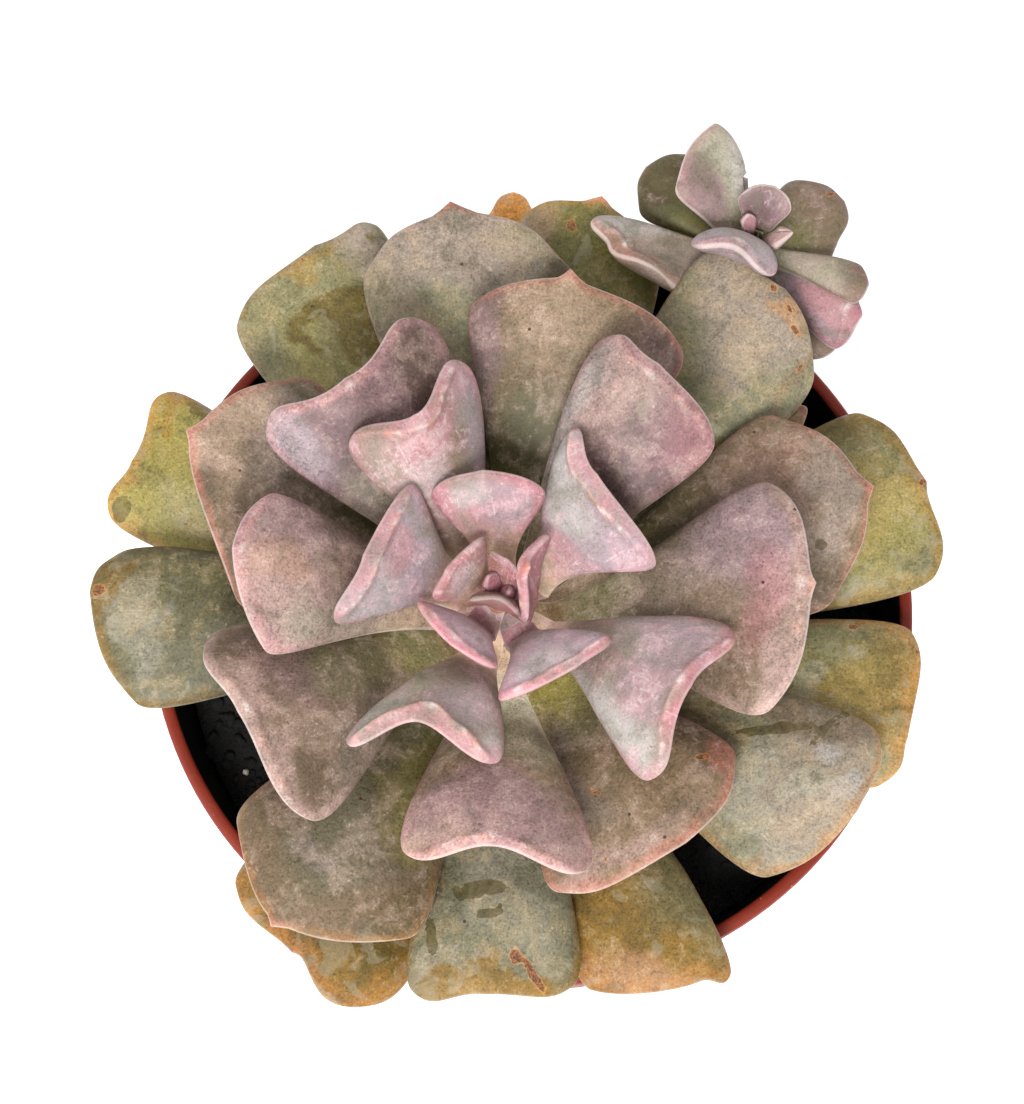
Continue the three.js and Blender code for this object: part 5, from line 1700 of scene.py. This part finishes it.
@dataclass(frozen=True)
class Lamp:
    """A square soft light, in metres and watts."""

    name: str
    place: Triple
    size: float
    power: float
    target: Triple = (0, 0, 0.08)

    def hang(self) -> None:
        """Hangs the light, turned to its target."""
        data = bpy.data.lights.new(self.name, "AREA")
        data.shape, data.size, data.energy = "SQUARE", self.size, self.power
        lamp = linked(self.name, data)
        lamp.location = self.place
        lamp.rotation_euler = (Vector(self.target) - Vector(self.place)).to_track_quat("-Z", "Y").to_euler()


@dataclass(frozen=True)
class Studio:
    """White paper, soft overhead light and the camera of the photograph."""

    elevation: float = 74
    distance: float = 420
    pixels_per_mm: float = 7.49
    rim_pixel: Pair = (531.0, 604.5)
    image: tuple[int, int] = (1024, 1104)
    rim: float = RIM_HEIGHT
    sensor: float = 36
    clip: Pair = (0.01, 50)
    paper: float = 2000
    paper_drop: float = 0.2
    sky: float = 1.0
    lamps: tuple[Lamp, ...] = (
        Lamp("key", (-0.1, -0.66, 0.84), 0.35, 12),
        Lamp("fill", (-0.85, -0.3, 0.7), 0.5, 3),
    )

    def camera(self) -> None:
        """Sets up the camera."""
        tilt = math.radians(self.elevation)
        right, up = Vector((1, 0, 0)), Vector((0, math.sin(tilt), math.cos(tilt)))
        back = right.cross(up)
        across, down = ((at - size / 2) / self.pixels_per_mm
                        for at, size in zip(self.rim_pixel, self.image))
        place = Vector((0, 0, self.rim)) - right * across + up * down + back * self.distance
        data = bpy.data.cameras.new("eye")
        data.sensor_width = self.sensor
        data.lens = self.sensor * self.pixels_per_mm * self.distance / max(self.image)
        data.clip_start, data.clip_end = self.clip
        eye = linked("eye", data)
        eye.matrix_world = Matrix.Translation(place * MM) @ Matrix((right, up, back)).transposed().to_4x4()
        bpy.context.scene.camera = eye

    def build(self) -> None:
        """Makes the camera, the floor, the lights and the sky."""
        self.camera()
        scene = bpy.context.scene
        scene.view_settings.view_transform = "Standard"
        scene.cycles.max_bounces, scene.cycles.diffuse_bounces = 4, 3
        scene.cycles.glossy_bounces = scene.cycles.transmission_bounces = 1
        corners = ((-1, -1), (1, -1), (1, 1), (-1, 1))
        points = [(x * self.paper, y * self.paper, -self.paper_drop) for x, y in corners]
        floor = placed("studio_floor", points, [[0, 1, 2, 3]])
        finished(floor, "studio_floor", FloorFinish().build())
        world = scene.world = bpy.data.worlds.new("sky")
        world.use_nodes = True
        graph = Graph(world.node_tree)
        sky = graph.add("ShaderNodeBackground", {}, {"Color": (1, 1, 1), "Strength": self.sky})
        graph.add("ShaderNodeOutputWorld", {}, {"Surface": sky})
        for lamp in self.lamps:
            lamp.hang()


FINISHES = {
    "inner_leaf": LeafFinish("inner_skin", grit=0.8, mottling=0.6, freckles=0.25, scratches=0.25, wear=0.0,
                             rim=0.15, warm=T.PETAL, fresh=T.SILVER),
    "middle_leaf": LeafFinish("middle_skin", depth=0.51, mottling=0.9, flush=0.13, dusting=0.2,
                              freckles=0.45, scratches=0.1, wear=0.15, rim=0.25, warm=T.BLUSH,
                              fresh=T.SAGE, cool=T.DOVE),
    "outer_leaf": LeafFinish("outer_skin", depth=0.51, mottling=0.85, flush=0.2, dusting=0.16, flecks=0.12,
                             scratches=0.12, wear=0.32, rim=0.12, warm=T.OCHRE, fresh=T.FERN,
                             cool=T.SILVER),
    "shoot_leaf": LeafFinish("shoot_skin", grit=0.9, mottling=0.6, dusting=0.12, freckles=0.3,
                             scratches=0.15, wear=0.1, warm=T.MAUVE, fresh=T.SAGE, cool=T.SILVER),
}


def main() -> None:
    """Builds the studio, then the plant and its pot from the ground up."""
    logging.basicConfig(level=logging.INFO, format="%(message)s")
    Studio().build()
    finishes = {slot: finish.build() for slot, finish in FINISHES.items()}
    Pot().build(PotFinish().build())
    Soil().build(PeatFinish().build(), GrainFinish().build())
    rosette = Rosette()
    rosette.dress_stem(BarkFinish().build())
    rosette.dress_tip(finishes["inner_leaf"])
    rosette.dress_leaves(finishes)
    SideShoot().build(finishes["shoot_leaf"])


if __name__ == "__main__":
    main()
